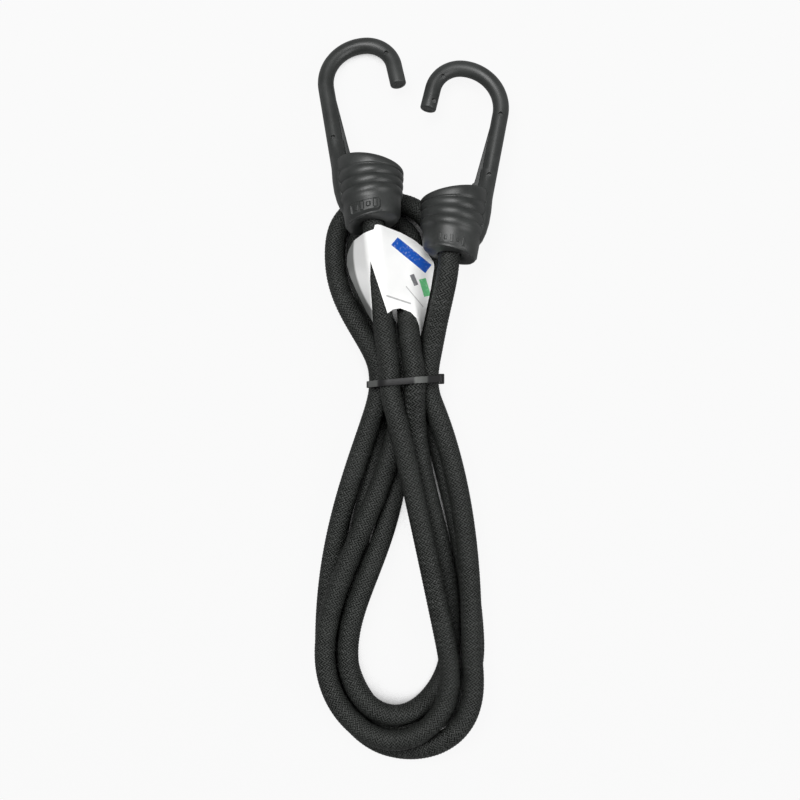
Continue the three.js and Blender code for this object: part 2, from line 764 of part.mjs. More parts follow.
function tieOutline(radius) {
  const ring = [];
  for (const run of Object.keys(runShares)) {
    const [x, z] = waistPlace(run);
    for (let i = 0; i < tieArcSteps; i++) {
      const angle = (i + 0.5) * 2 * Math.PI / tieArcSteps;
      const reach = radius / Math.cos(Math.PI / tieArcSteps);
      ring.push([x + reach * Math.cos(angle), z + reach * Math.sin(angle)]);
    }
  }
  return hull(ring);
}

// Along Y: a slab drawn in X and Z.
function crossSlab(outline, width) {
  const geometry = slab(outline, width, -width / 2);
  geometry.rotateX(Math.PI / 2);
  return solidOf(geometry);
}

function tie() {
  const inner = tieOutline(cordRadius + seatGap);
  const outer = tieOutline(cordRadius + seatGap + tieThickness);
  let solid = crossSlab(outer, tieWidth).subtract(crossSlab(inner, tieWidth * 2));

  // The head sits on the right flank, between the lower two strands of that side.
  const [topX, topZ] = waistPlace('D');
  const [lowX, lowZ] = waistPlace('S');
  const upward = new THREE.Vector2(topX - lowX, topZ - lowZ).normalize();
  const outward = new THREE.Vector2(upward.y, -upward.x);
  const middle = new THREE.Vector2((topX + lowX) / 2, (topZ + lowZ) / 2)
    .addScaledVector(outward, cordRadius + seatGap + tieThickness);
  const box = (u0, u1, n0, n1) => [[u0, n0], [u1, n0], [u1, n1], [u0, n1]].map(([u, n]) => [
    middle.x + upward.x * u + outward.x * n, middle.y + upward.y * u + outward.y * n,
  ]);
  const half = tieHeadLength / 2;
  const slot = tieThickness + seatGap * 2;
  const headDepth = slot + tieThickness;
  const head = crossSlab(box(-half, half, -seatGap, headDepth), tieHeadWidth);
  const window = crossSlab(box(-half * 2, half * 2, 0, slot), tieWidth + seatGap * 2);
  solid = solid.add(head).subtract(window);

  // The tail goes through the head's window and is cut off just below it.
  const tail = crossSlab(box(-half - tieTail, half + tieThickness, seatGap, seatGap + tieThickness), tieWidth);
  const bend = crossSlab(
    box(half + tieThickness * 0.2, half + tieThickness * 1.2, -tieThickness, seatGap + tieThickness), tieWidth,
  );
  const table = crossSlab([
    [-lowerReach, flatDepth], [-lowerReach, -lowerReach], [lowerReach, -lowerReach], [lowerReach, flatDepth],
  ], tieHeadWidth * 2);
  return geometryFrom(solid.add(tail).add(bend).subtract(table));
}

place(hank, 'cable_tie', tie(), tiePlastic);

// The thin label that lies over the raised top turn and the left stretch.
const labelFront = 20;
const labelLength = 47;
const labelMiddle = -6;
const labelHalfWidth = 19.6;
const labelThickness = 0.4;
const labelStations = 10;
const labelAcross = 14;
const leftEdgeShares = [-0.35, -0.45, -0.67, -0.85, -0.945, -0.995, -0.93, -0.36];
const rightEdgeShares = [0.66, 0.755, 0.82, 0.893, 0.954, 1, 0.76, 0.21];
const slitApexX = -15.2;
const slitApexY = 52.4;
const slitFrontLeftX = -14.6;
const slitFrontRightX = -4.2;
const archMiddleX = -1.6;
const archHalfWidth = 8.8;
const archDepth = 12.4;

function lineAt(path, y) {
  for (let i = 0; i + 1 < path.length; i++) {
    const [a, b] = [path[i], path[i + 1]];
    if ((a.y - y) * (b.y - y) <= 0 && a.y !== b.y) return a.clone().lerp(b, (y - a.y) / (b.y - a.y));
  }
  return null;
}

// The film is drawn tight over the strands under it: at each place along the cord its cross
// line is the upper side of the outline round those strands.
function labelSheet() {
  const leg = legPath('B', leftLegRoute, leftFrame);
  const raised = topShares.raised;
  const reach = cordRadius + seatGap;
  const crest = raised.reach + raised.depth;
  const spot = (disc, angle) => [
    disc.x + reach / Math.cos(Math.PI / tieArcSteps) * Math.cos(angle),
    disc.z + reach / Math.cos(Math.PI / tieArcSteps) * Math.sin(angle),
  ];
  const lines = steps(labelStations).map((s) => {
    const y = labelFront + labelLength * s;
    const x0 = labelMiddle + labelHalfWidth * along(leftEdgeShares, s);
    const x1 = labelMiddle + labelHalfWidth * along(rightEdgeShares, s);
    const share = Math.min((y - waistHalfLength) / (raised.reach - waistHalfLength), 1);
    const round = Math.max(1 - ((y - raised.reach) / raised.depth) ** 2, 0);
    const inward = y > raised.reach ? raised.half * (1 - Math.sqrt(y > crest ? 0 : round)) : 0;
    const arms = [shoulderPoint(raised, -1, share), shoulderPoint(raised, 1, share)];
    arms[0].x += inward;
    arms[1].x -= inward;
    const discs = [...arms, lineAt(leg, y)];
    const ring = discs.flatMap((disc) => steps(tieArcSteps).map((t) => spot(disc, 2 * Math.PI * t)));
    const under = Math.min(arms[0].z, arms[1].z);
    ring.push([x0, under - cordRadius * 0.3], [x1, under - cordRadius * 0.1]);
    const outline = hull(ring);
    const heightAt = (x) => {
      let best = under;
      outline.forEach((p, i) => {
        const q = outline[(i + 1) % outline.length];
        if ((p[0] - x) * (q[0] - x) <= 0 && p[0] !== q[0]) {
          best = Math.max(best, p[1] + (q[1] - p[1]) * (x - p[0]) / (q[0] - p[0]));
        }
      });
      return best;
    };
    return steps(labelAcross).map((t) => {
      const x = x0 + (x1 - x0) * t;
      return [x, y, heightAt(x) + seatGap];
    });
  });
  const count = lines[0].length;
  const lift = (line) => line.map(([x, y, z], k) => {
    const [a, b] = [line[Math.max(k - 1, 0)], line[Math.min(k + 1, count - 1)]];
    const across = new THREE.Vector2(-(b[2] - a[2]), b[0] - a[0]).normalize();
    return [x + across.x * labelThickness, y, z + across.y * labelThickness];
  });
  const positions = [...lines.flat(), ...lines.map(lift).flat()];
  const total = lines.length * count;
  const triangles = [];
  const quad = (a, b, c, d) => triangles.push([a, b, c], [a, c, d]);
  for (let i = 0; i + 1 < lines.length; i++) {
    const [r, q] = [i * count, (i + 1) * count];
    for (let k = 0; k + 1 < count; k++) {
      quad(r + k, q + k, q + k + 1, r + k + 1);
      quad(total + r + k, total + r + k + 1, total + q + k + 1, total + q + k);
    }
    quad(r, total + r, total + q, q);
    quad(r + count - 1, q + count - 1, total + q + count - 1, total + r + count - 1);
  }
  const last = (lines.length - 1) * count;
  for (let k = 0; k + 1 < count; k++) {
    quad(k, k + 1, total + k + 1, total + k);
    quad(last + k, total + last + k, total + last + k + 1, last + k + 1);
  }
  const front = labelFront - labelThickness;
  const slit = solidOf(slab(
    [[slitApexX, slitApexY], [slitFrontLeftX, front], [slitFrontRightX, front]], lowerReach, 0,
  ));
  const arch = solidOf(slab(steps(labelAcross).map((t) => [
    archMiddleX + archHalfWidth * Math.cos(Math.PI * t), front + archDepth * Math.sin(Math.PI * t),
  ]), lowerReach, 0));
  // The film stays clear of the strands, and of the collars wherever they are turned to.
  const room = roundSection(cordRadius + seatGap, cordSides, 0);
  const below = Math.tan(skewAngle) * collarSmallRadius + seatGap;
  const widest = (h) => collarRadiusAt(h + below) + plateRaise + barRaise + seatGap;
  const turningRoom = ({ origin, side, forward, face }) => {
    const round = turned([
      [0, -below], [widest(-below), -below], [widest(collarLength), collarLength], [0, collarLength],
    ], collarSides);
    round.applyMatrix4(new THREE.Matrix4().makeBasis(side, forward, face).setPosition(origin));
    return solidOf(round);
  };
  const film = solidOf(geometryOf(positions, triangles)).subtract(slit).subtract(arch)
    .subtract(solidOf(sweep(leg, room))).subtract(solidOf(sweep(hankPath, room)))
    .subtract(turningRoom(leftFrame)).subtract(turningRoom(rightFrame));
  const pieces = film.decompose().sort((a, b) => b.volume() - a.volume());
  return geometryFrom(pieces[0]);
}

place(hank, 'label', labelSheet(), labelFilm);

// The part's own frame.
// Origin on the table, at the middle of the outline.
bungee.updateMatrixWorld(true);
const outline = new THREE.Box3().setFromObject(bungee, true);
const centre = outline.getCenter(new THREE.Vector3());
const part = new THREE.Group();
bungee.position.set(-centre.x, -centre.y, -flatDepth);
part.add(bungee);
part.updateMatrixWorld(true);

export default part;
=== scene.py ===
# %% [markdown]
# # A bungee cord, put away as a hank
#
# The object is an elastic luggage cord: about two metres of braided cord, folded into flat
# loops and drawn in at the waist by a small plastic tie. Each end carries a hook, a steel
# wire covered with dark plastic, on a flared collar that grips the cord's end.
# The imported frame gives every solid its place. This script dresses the solids: it makes the
# fine surfaces, the braid, the moulded plastic and the light.

# %% Tools and the frame
import math

import bpy
import numpy as np
from mathutils import Matrix, Vector


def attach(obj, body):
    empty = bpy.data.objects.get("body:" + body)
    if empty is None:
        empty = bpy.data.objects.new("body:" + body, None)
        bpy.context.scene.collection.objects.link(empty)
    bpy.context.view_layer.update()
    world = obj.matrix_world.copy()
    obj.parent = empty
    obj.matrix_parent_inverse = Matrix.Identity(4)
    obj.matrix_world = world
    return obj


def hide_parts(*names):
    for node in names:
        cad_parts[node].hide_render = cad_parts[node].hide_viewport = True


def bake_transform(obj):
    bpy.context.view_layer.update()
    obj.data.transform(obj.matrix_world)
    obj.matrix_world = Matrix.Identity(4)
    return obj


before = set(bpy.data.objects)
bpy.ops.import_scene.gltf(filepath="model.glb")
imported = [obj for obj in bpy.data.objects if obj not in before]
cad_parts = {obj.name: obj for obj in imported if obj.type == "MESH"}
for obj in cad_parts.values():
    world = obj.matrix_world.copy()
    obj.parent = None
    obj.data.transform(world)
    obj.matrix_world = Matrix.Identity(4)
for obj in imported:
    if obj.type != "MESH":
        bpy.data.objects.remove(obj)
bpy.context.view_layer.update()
MM = 0.001

# %% [markdown]
# ## Helpers
#
# Most pieces start as a primitive in edit mode. An operator acts on whatever is selected, so
# a few small helpers deselect everything, select by place, and put finished meshes in order.


# %% Selecting and finishing
def deselect():
    if bpy.context.mode != "OBJECT":
        bpy.ops.object.mode_set(mode="OBJECT")
    bpy.ops.object.select_all(action="DESELECT")


def pick(piece):
    deselect()
    piece.select_set(True)
    bpy.context.view_layer.objects.active = piece
    return piece


def apply_modifiers(piece):
    pick(piece)
    for modifier in list(piece.modifiers):
        bpy.ops.object.modifier_apply(modifier=modifier.name)
    return piece


def settle(piece):
    """Puts the piece's place into its mesh, so that the object sits at the origin."""
    pick(piece)
    bpy.ops.object.transform_apply(location=True, rotation=True, scale=True)
    return piece


def smooth(piece, degrees=40):
    pick(piece)
    bpy.ops.object.shade_smooth_by_angle(angle=math.radians(degrees))
    return piece


def dress(piece, material):
    piece.data.materials.clear()
    piece.data.materials.append(material)
    return piece


def clean(piece, distance=0.00001):
    """Merges doubles and turns the faces outwards."""
    pick(piece)
    bpy.ops.object.mode_set(mode="EDIT")
    bpy.ops.mesh.select_all(action="SELECT")
    bpy.ops.mesh.remove_doubles(threshold=distance)
    bpy.ops.mesh.normals_make_consistent(inside=False)
    bpy.ops.object.mode_set(mode="OBJECT")
    return piece


def bevel(piece, width, segments, degrees=30):
    """Rounds the edges that are sharper than an angle."""
    modifier = piece.modifiers.new("edge", "BEVEL")
    modifier.width, modifier.segments = width, segments
    modifier.limit_method, modifier.angle_limit = "ANGLE", math.radians(degrees)
    return apply_modifiers(piece)


def thicken(piece, thickness, offset):
    modifier = piece.modifiers.new("wall", "SOLIDIFY")
    modifier.thickness, modifier.offset = thickness, offset
    return apply_modifiers(piece)


def boolean(piece, other, operation):
    """Joins, cuts or intersects the piece with another one, which is then deleted."""
    modifier = piece.modifiers.new(operation.lower(), "BOOLEAN")
    modifier.object = other
    modifier.operation = operation
    modifier.solver = "EXACT"
    apply_modifiers(piece)
    bpy.data.objects.remove(other, do_unlink=True)
    return piece


# %% Wiring materials
class Nodes:
    """A short way to wire a material's nodes."""

    def __init__(self, name):
        self.material = bpy.data.materials.new(name)
        self.material.use_nodes = True
        self.tree = self.material.node_tree
        self.shader = self.tree.nodes["Principled BSDF"]

    def add(self, kind, **settings):
        node = self.tree.nodes.new(kind)
        for key, value in settings.items():
            setattr(node, key, value)
        return node

    def link(self, source, target):
        self.tree.links.new(source, target)

    def feed(self, node, inputs):
        """Gives each named input its number, or links what it is to come from."""
        for name, value in inputs.items():
            if isinstance(value, (int, float)):
                node.inputs[name].default_value = value
            elif value is not None:
                self.link(value, node.inputs[name])
        return node.outputs

    def math(self, operation, a, b=None, clamp=False):
        node = self.add("ShaderNodeMath", operation=operation, use_clamp=clamp)
        return self.feed(node, {0: a, 1: b})[0]

    def noise(self, vector, scale, detail, roughness):
        return self.feed(self.add("ShaderNodeTexNoise"), {
            "Vector": vector, "Scale": scale, "Detail": detail, "Roughness": roughness})["Fac"]

    def ramp(self, factor, stops):
        node = self.add("ShaderNodeValToRGB")
        elements = node.color_ramp.elements
        while len(elements) < len(stops):
            elements.new(0.5)
        for element, (place, color) in zip(elements, stops):
            element.position = place
            element.color = (*color, 1.0)
        self.link(factor, node.inputs["Fac"])
        return node.outputs["Color"]

    def spread(self, factor, low, high, new_low, new_high):
        return self.feed(self.add("ShaderNodeMapRange"), {
            "Value": factor, "From Min": low, "From Max": high, "To Min": new_low,
            "To Max": new_high})["Result"]

    def bump(self, height, strength, distance):
        return self.feed(self.add("ShaderNodeBump"), {
            "Height": height, "Strength": strength, "Distance": distance})["Normal"]

    def place(self):
        return self.add("ShaderNodeTexCoord").outputs["Object"]

    def split(self, vector):
        return self.feed(self.add("ShaderNodeSeparateXYZ"), {0: vector})[:2]

    def weigh(self, *terms):
        """The sum of some values, each times its weight."""
        total = None
        for value, weight in terms:
            term = self.math("MULTIPLY", value, weight)
            total = term if total is None else self.math("ADD", total, term)
        return total

    def tinted(self, color, tint, factor):
        """The colour, turned to a plain tint where the factor is 1."""
        node = self.add("ShaderNodeMix", data_type="RGBA")
        node.inputs[7].default_value = (*tint, 1)
        return self.feed(node, {0: factor, 6: color})[2]

    def surface(self, color, roughness, normal, specular=0.5, metallic=0.0):
        self.feed(self.shader, {
            "Base Color": color, "Roughness": roughness, "Normal": normal,
            "Specular IOR Level": specular, "Metallic": metallic})
        return self.material


# %% [markdown]
# ## Camera, table and light
#
# The photograph looks straight down on the cord from arm's length, on a white ground. A
# camera 0.6 m above the table gives the same slight spreading of what lies higher. The
# table is a middling grey for the lamps and an even white for the camera, and turns dark only
# in narrow nooks. The lamps are large and soft, so that black plastic and black cord keep
# their shape without hard glare.

# %% The camera
CAMERA_HEIGHT = 0.6
VIEW_WIDTH = 0.3656
VIEW_CENTRE = (-0.00516, -0.00062)

camera_data = bpy.data.cameras.new("camera")
camera_data.sensor_width = 36.0
camera_data.lens = camera_data.sensor_width * CAMERA_HEIGHT / VIEW_WIDTH
camera = bpy.data.objects.new("camera", camera_data)
camera.location = (*VIEW_CENTRE, CAMERA_HEIGHT)
bpy.context.scene.collection.objects.link(camera)
bpy.context.scene.camera = camera
print("lens:", round(camera_data.lens, 1), "mm")

# %% The table
FLOOR_SIZE = 6.0
FLOOR_DROP = 0.0004
FLOOR_GLOW = 0.92
# How far the painted nook shade reaches, and the occlusion shares where it is full and where it
# ends.
NOOK_REACH, NOOK_DARK, NOOK_OPEN = 0.02, 0.2, 0.42

deselect()
bpy.ops.mesh.primitive_plane_add(size=FLOOR_SIZE, location=(0, 0, -FLOOR_DROP))
floor = settle(bpy.context.object)
floor.name = "floor"

paper = Nodes("white table")
paper.shader.inputs["Base Color"].default_value = (0.3, 0.3, 0.3, 1)
paper.shader.inputs["Roughness"].default_value = 0.9
glow = paper.add("ShaderNodeEmission")
glow.inputs["Color"].default_value = (1, 1, 1, 1)
light_path = paper.add("ShaderNodeLightPath")
# Ambient occlusion dims the camera's white glow in narrow nooks between strands: painted shade.
nook = paper.add("ShaderNodeAmbientOcclusion", samples=12)
nook.inputs["Distance"].default_value = NOOK_REACH
glow_after_painted_nook_shade = paper.spread(nook.outputs["AO"], NOOK_DARK, NOOK_OPEN, 0.0, 1.0)
paper.link(glow_after_painted_nook_shade, glow.inputs["Strength"])
seen = paper.math("MULTIPLY", light_path.outputs["Is Camera Ray"], FLOOR_GLOW)
mix = paper.add("ShaderNodeMixShader")
paper.link(seen, mix.inputs["Fac"])
paper.link(paper.shader.outputs["BSDF"], mix.inputs[1])
paper.link(glow.outputs["Emission"], mix.inputs[2])
paper.link(mix.outputs["Shader"], paper.tree.nodes["Material Output"].inputs["Surface"])
dress(floor, paper.material)
print("table:", FLOOR_SIZE, "m wide")


# %% The lamps and the world
def lamp(name, place, size, power):
    """A soft lamp that is turned to the middle of the table."""
    data = bpy.data.lights.new(name, "AREA")
    data.shape = "RECTANGLE"
    data.size, data.size_y = size
    data.energy = power
    light = bpy.data.objects.new(name, data)
    light.location = place
    light.rotation_euler = (-Vector(place)).to_track_quat("-Z", "Y").to_euler()
    bpy.context.scene.collection.objects.link(light)
    return light


lamps = [lamp("window", (-0.25, 0.4, 1.25), (0.9, 0.6), 21),
         lamp("room", (0.9, -0.3, 1.0), (0.8, 0.8), 9)]

scene = bpy.context.scene
scene.view_settings.view_transform = "Standard"
world = bpy.data.worlds.new("pale room")
scene.world = world
world.use_nodes = True
backdrop = world.node_tree.nodes["Background"]
backdrop.inputs["Color"].default_value = (1, 1, 1, 1)
backdrop.inputs["Strength"].default_value = 0.1
print("lamps:", [f"{light.name} {light.data.energy:g} W" for light in lamps])

# %% [markdown]
# ## The cord's route
#
# The cord goes round the hank four times. Each round is a run down from the waist, a bottom
# turn, a run up, and a turn at the top. The numbers are those of the solid hank: shares of
# the strand pitch across the waist, and how each run spreads and settles. Here the same
# line is sampled finely and evened out, as a stiff round cord would lie.

# %% The hank's sizes and shares
CORD = 9.0
PITCH = CORD + 0.45
LOW = CORD / 2
HIGH = LOW + CORD + 0.85
ROW_RISE = CORD + 0.72
WAIST_LIFT = 2.4
WAIST_HALF = 5.0
LOWER_REACH, LOWER_SHIFT = 122.0, -2.8
INNER_HALF, INNER_DEPTH = 22.5, 28.2
SQUARENESS = 0.82
SIDE_STEP, DEPTH_STEP = 1.09, 1.06
TABLE_CUT = CORD / 10

# A run: its slot and row at the waist, and the powers by which it spreads, settles and drops.
RUNS = {
    "B": (-0.656, 2, (0.92, 1.0), (2.4, 1.3), (1, 1)),
    "C": (0.487, 2, (2.2, 3.4), (0.8, 3.4), (2, 2.7)),
    "D": (1.13, 1, (0.95, 2.4), (1, 1), (1, 1)),
    "S": (0.86, 0, (1, 1.6), (1, 2), (1, 2)),
    "A": (-1.15, 1, (1.2, 2.3), (1, 1), (1.8, 3)),
    "M": (-0.106, 1, (1.8, 1.96), (2, 3), (1, 1)),
    "Q": (-0.155, 0, (3.0, 2.3), (4, 8), (1, 1)),
    "P": (-1.16, 0, (1.7, 2), (1, 2), (1, 2)),
}
# A bottom turn: the runs it joins, how far out it lies and its level, both along the turn.
BOTTOMS = {
    "raised": ("B", "M", (0, 0.62, 1.03, 1, 1), (1, 1.05, 1.04, 1, 1)),
    "low": ("S", "P", (1.2, 1.08, 0.57, 0.09, 0.07), (0, 0, 0, 0, 0)),
    "dipping": ("C", "Q", (0.13, -0.03, -0.035, 0, 0), (0, 0.18, 0.86, 1, 1)),
    "outer": ("D", "A", (1.02, 1.75, 1.63, 1.11, 1.02), (1, 0.92, 0, 0, 0)),
}
# A top turn: the runs it joins, its shift, reach, half width, depth and height, and the
# powers by which each shoulder spreads and settles.
TOPS = {
    "outer": ("A", "S", -8.4, 59.5, 23.1, 22.2, LOW,
              ((1.5, 2.6), (1, 1.5)), ((2.6, 2.6), (1, 2))),
    "inner": ("P", "Q", -8.6, 59.5, 13.0, 12.4, LOW,
              ((1.8, 1.8), (1, 1.5)), ((1, 2), (1, 2))),
    "raised": ("M", "C", -9.5, 45.0, 10.6, 12.0, HIGH,
               ((2.0, 1.6), (0.9, 2)), ((1, 2), (1.4, 1))),
}
# A round: the run down, the bottom turn and its way, the run up, the top turn and its way.
ROUNDS = [
    ("B", "raised", 1, "M", "raised", 1), ("C", "dipping", 1, "Q", "inner", -1),
    ("P", "low", -1, "S", "outer", -1), ("A", "outer", -1, "D", None, 0),
]
print(len(RUNS), "runs,", len(BOTTOMS), "bottom turns,", len(TOPS), "top turns")


# %% Points on the runs and turns
def ease(share, powers):
    return 1 - (1 - share ** powers[0]) ** powers[1]


def between(a, b, c, d, w):
    """Between b and c on the Catmull-Rom curve through four values or points."""
    return 0.5 * (2 * b + (c - a) * w + (2 * a - 5 * b + 4 * c - d) * w ** 2
                  + (3 * b - a - 3 * c + d) * w ** 3)


def along(values, share):
    last = len(values) - 1
    i = min(int(share * last), last - 1)
    return between(values[max(i - 1, 0)], values[i], values[i + 1], values[min(i + 2, last)],
                   share * last - i)


def waist_place(run):
    slot, row = RUNS[run][:2]
    return slot * PITCH, LOW + WAIST_LIFT + row * ROW_RISE


def bottom_point(name, angle):
    ring, level = BOTTOMS[name][2:]
    out = along(ring, angle / math.pi) * PITCH
    return np.array([
        LOWER_SHIFT + (INNER_HALF + out * SIDE_STEP) * math.cos(angle),
        -LOWER_REACH - (INNER_DEPTH + out * DEPTH_STEP) * math.sin(angle),
        LOW + (HIGH - LOW) * along(level, angle / math.pi),
    ])


def run_point(run, share):
    spread, settle_by, drop = RUNS[run][2:]
    name = next(n for n, b in BOTTOMS.items() if run in b[:2])
    end = bottom_point(name, 0 if BOTTOMS[name][0] == run else math.pi)
    x, z = waist_place(run)
    return np.array([
        x + (end[0] - x) * ease(share, spread),
        -WAIST_HALF + (end[1] + WAIST_HALF) * share,
        z + (HIGH - z) * ease(share, settle_by) + (end[2] - HIGH) * ease(share, drop),
    ])


def shoulder_point(name, side, share):
    left, right, shift, reach, half, _, height, spread, settle_by = TOPS[name]
    i = 1 if side > 0 else 0
    x, z = waist_place(right if side > 0 else left)
    return np.array([
        x + (shift + side * half - x) * ease(share, spread[i]),
        WAIST_HALF + (reach - WAIST_HALF) * share,
        z + (height - z) * ease(share, settle_by[i]),
    ])


def arch_point(name, angle):
    shift, reach, half, depth, height = TOPS[name][2:7]
    c, s = math.cos(angle), max(math.sin(angle), 0)
    return np.array([
        shift + half * math.copysign(abs(c) ** SQUARENESS, c),
        reach + depth * s ** SQUARENESS,
        height,
    ])


# %% The whole line, from the left collar round the hank to the right collar
LEFT_EXIT = np.array([-13.5, 68.5, 28.919])
LEFT_FORWARD = np.array([-0.06706, 0.95901, -0.27534])
RIGHT_EXIT = np.array([19.8, 55.2, 26.4])
RIGHT_FORWARD = np.array([0.09408, 0.97711, -0.19081])
LEFT_LEG = [[-7.6, 14, 26.4], [-9.4, 27, 27.2], [-11.0, 42, 28.6]]
RIGHT_LEG = [[12.4, 14, 18.0], [14.6, 26, 22.0], [17.0, 37, 26.6]]
FINE = 14
COARSE_STEP, POINT_STEP, EVEN_ROUNDS = 2.0, 0.74, 50


def hank_line():
    line = []
    shares = [i / FINE for i in range(FINE + 1)]
    for down, bottom, way, up, top, top_way in ROUNDS:
        line += [run_point(down, s) for s in shares]
        line += [bottom_point(bottom, math.pi * (s if way > 0 else 1 - s)) for s in shares]
        line += [run_point(up, 1 - s) for s in shares]
        if top:
            line += [shoulder_point(top, -top_way, s) for s in shares]
            line += [arch_point(top, math.pi * (1 - s if top_way > 0 else s)) for s in shares]
            line += [shoulder_point(top, top_way, 1 - s) for s in shares]
    return line


def leg_line(run, points, leaving, forward):
    x, z = waist_place(run)
    start = [[x, 0, z], [x, WAIST_HALF, z]]
    before = [leaving - forward * CORD, leaving - forward * CORD / 2, leaving]
    return [np.array(p, float) for p in start + points + before]


def curve_through(points, spacing):
    """A Catmull-Rom curve through given points, sampled evenly."""
    points = [np.array(p, float) for p in points]
    padded = [2 * points[0] - points[1]] + points + [2 * points[-1] - points[-2]]
    out = []
    for four in zip(padded, padded[1:], padded[2:], padded[3:]):
        out += [between(*four, i / 24) for i in range(24)]
    out.append(points[-1])
    return resample(np.array(out), spacing)


def resample(line, spacing):
    steps = np.linalg.norm(np.diff(line, axis=0), axis=1)
    keep = np.concatenate([[True], steps > 1e-6])
    line = line[keep]
    length = np.concatenate([[0], np.cumsum(np.linalg.norm(np.diff(line, axis=0), axis=1))])
    count = max(2, int(round(length[-1] / spacing)))
    places = np.linspace(0, length[-1], count + 1)
    return np.stack([np.interp(places, length, line[:, k]) for k in range(3)], axis=1)


def even_out(line, rounds):
    """Moves each point towards its neighbours; the two ends stay."""
    line = line.copy()
    for _ in range(rounds):
        line[1:-1] = 0.5 * line[1:-1] + 0.25 * (line[:-2] + line[2:])
    return line


left_leg = curve_through(leg_line("B", LEFT_LEG, LEFT_EXIT, LEFT_FORWARD), COARSE_STEP)
right_leg = curve_through(leg_line("D", RIGHT_LEG, RIGHT_EXIT, RIGHT_FORWARD), COARSE_STEP)
hank = resample(np.array(hank_line()), COARSE_STEP)
whole = np.concatenate([left_leg[::-1], hank, right_leg])
whole = resample(even_out(resample(whole, POINT_STEP), EVEN_ROUNDS), POINT_STEP)

# The part's frame has its origin under the middle of the outline.
SHIFT = np.array([-3.344, 7.585, -TABLE_CUT])
whole = (whole + SHIFT) * MM
whole[:, 2] = np.maximum(whole[:, 2], (LOW - TABLE_CUT) * MM)

# The route crosses the waist's middle plane ten times. The first and the last crossing are
# where the two legs begin.
y = whole[:, 1] - SHIFT[1] * MM
crossings = [i for i in range(len(y) - 1) if y[i] * y[i + 1] <= 0]
first, last = crossings[0], crossings[-1] + 1
paths = {"left": whole[:first + 2][::-1], "hank": whole[first:last + 1],
         "right": whole[last - 1:]}


# %% [markdown]
# ## The braided cord
#
# A luggage cord is a bundle of rubber threads under a braid: sixteen groups of yarn run one
# way round and sixteen the other, each passing over two and under two. The tube is built
# ring by ring along the route. Each ring stands half a braid step after the last and has
# two points for each group, so every second point can be raised: that gives the braid's
# knobbly surface as real shape. The yarns themselves are drawn by the material from the
# tube's own UV map.

# %% A tube whose rings follow the route
BRAID_SIDES = 32
BRAID_RELIEF = 0.16 * MM
# The two ways to split a patch into triangles, so that each raised point is a peak.
SPLITS = (((0, 2, 1), (0, 3, 2)), ((0, 3, 1), (1, 3, 2)))


def frames_along(path):
    """Unit vectors across the path that never twist: each one is carried from the last."""
    heading = np.gradient(path, axis=0)
    heading /= np.linalg.norm(heading, axis=1)[:, None]
    side = np.cross(heading[0], [0, 0, 1.0])
    side /= np.linalg.norm(side)
    sides = [side]
    for direction in heading[1:]:
        side = sides[-1] - direction * np.dot(sides[-1], direction)
        sides.append(side / np.linalg.norm(side))
    sides = np.array(sides)
    return sides, np.cross(sides, heading)


def braided_tube(name, path, radius):
    sides, ups = frames_along(path)
    count = len(path)
    turn = np.arange(BRAID_SIDES) * 2 * math.pi / BRAID_SIDES
    row = np.arange(count)[:, None]
    raised = (row + np.arange(BRAID_SIDES)[None, :]) % 2 == 1
    reach = np.where(raised, radius + BRAID_RELIEF, radius - BRAID_RELIEF)
    points = (path[:, None, :]
              + sides[:, None, :] * (reach * np.cos(turn))[:, :, None]
              + ups[:, None, :] * (reach * np.sin(turn))[:, :, None])
    points[:, :, 2] = np.maximum(points[:, :, 2], 0)
    vertices = [tuple(p) for p in points.reshape(-1, 3)]
    faces, uvs = [], []
    for i in range(count - 1):
        for k in range(BRAID_SIDES):
            a, b = i * BRAID_SIDES + k, i * BRAID_SIDES + (k + 1) % BRAID_SIDES
            corners = ((a, (i, k)), (b, (i, k + 1)), (b + BRAID_SIDES, (i + 1, k + 1)),
                       (a + BRAID_SIDES, (i + 1, k)))
            for triangle in SPLITS[(i + k) % 2]:
                faces.append([corners[j][0] for j in triangle])
                uvs += [corners[j][1] for j in triangle]
    for i, way in ((0, 1), (count - 1, -1)):
        vertices.append(tuple(path[i]))
        centre = len(vertices) - 1
        for k in range(BRAID_SIDES):
            a, b = i * BRAID_SIDES + k, i * BRAID_SIDES + (k + 1) % BRAID_SIDES
            faces.append((centre, a, b) if way > 0 else (centre, b, a))
            uvs += [(i, k)] * 3
    mesh = bpy.data.meshes.new(name)
    mesh.from_pydata(vertices, [], faces)
    layer = mesh.uv_layers.new(name="braid")
    layer.data.foreach_set("uv", np.array(uvs, float).ravel() / 2)
    mesh.validate()
    piece = bpy.data.objects.new(name, mesh)
    bpy.context.scene.collection.objects.link(piece)
    clean_direction(piece)
    pick(piece)
    bpy.ops.object.shade_smooth()
    return piece


def clean_direction(piece):
    """Turns the faces outwards, if the tube came out inside out."""
    mesh = piece.data
    co = np.array([v.co for v in mesh.vertices])
    tri = np.array([p.vertices[:3] for p in mesh.polygons])
    volume = np.einsum("ij,ij->i", co[tri[:, 0]], np.cross(co[tri[:, 1]], co[tri[:, 2]])).sum()
    if volume < 0:
        mesh.flip_normals()
    print(piece.name, "volume in ml:", round(abs(volume) / 6 * 1e6, 2),
          "triangles:", len(tri))


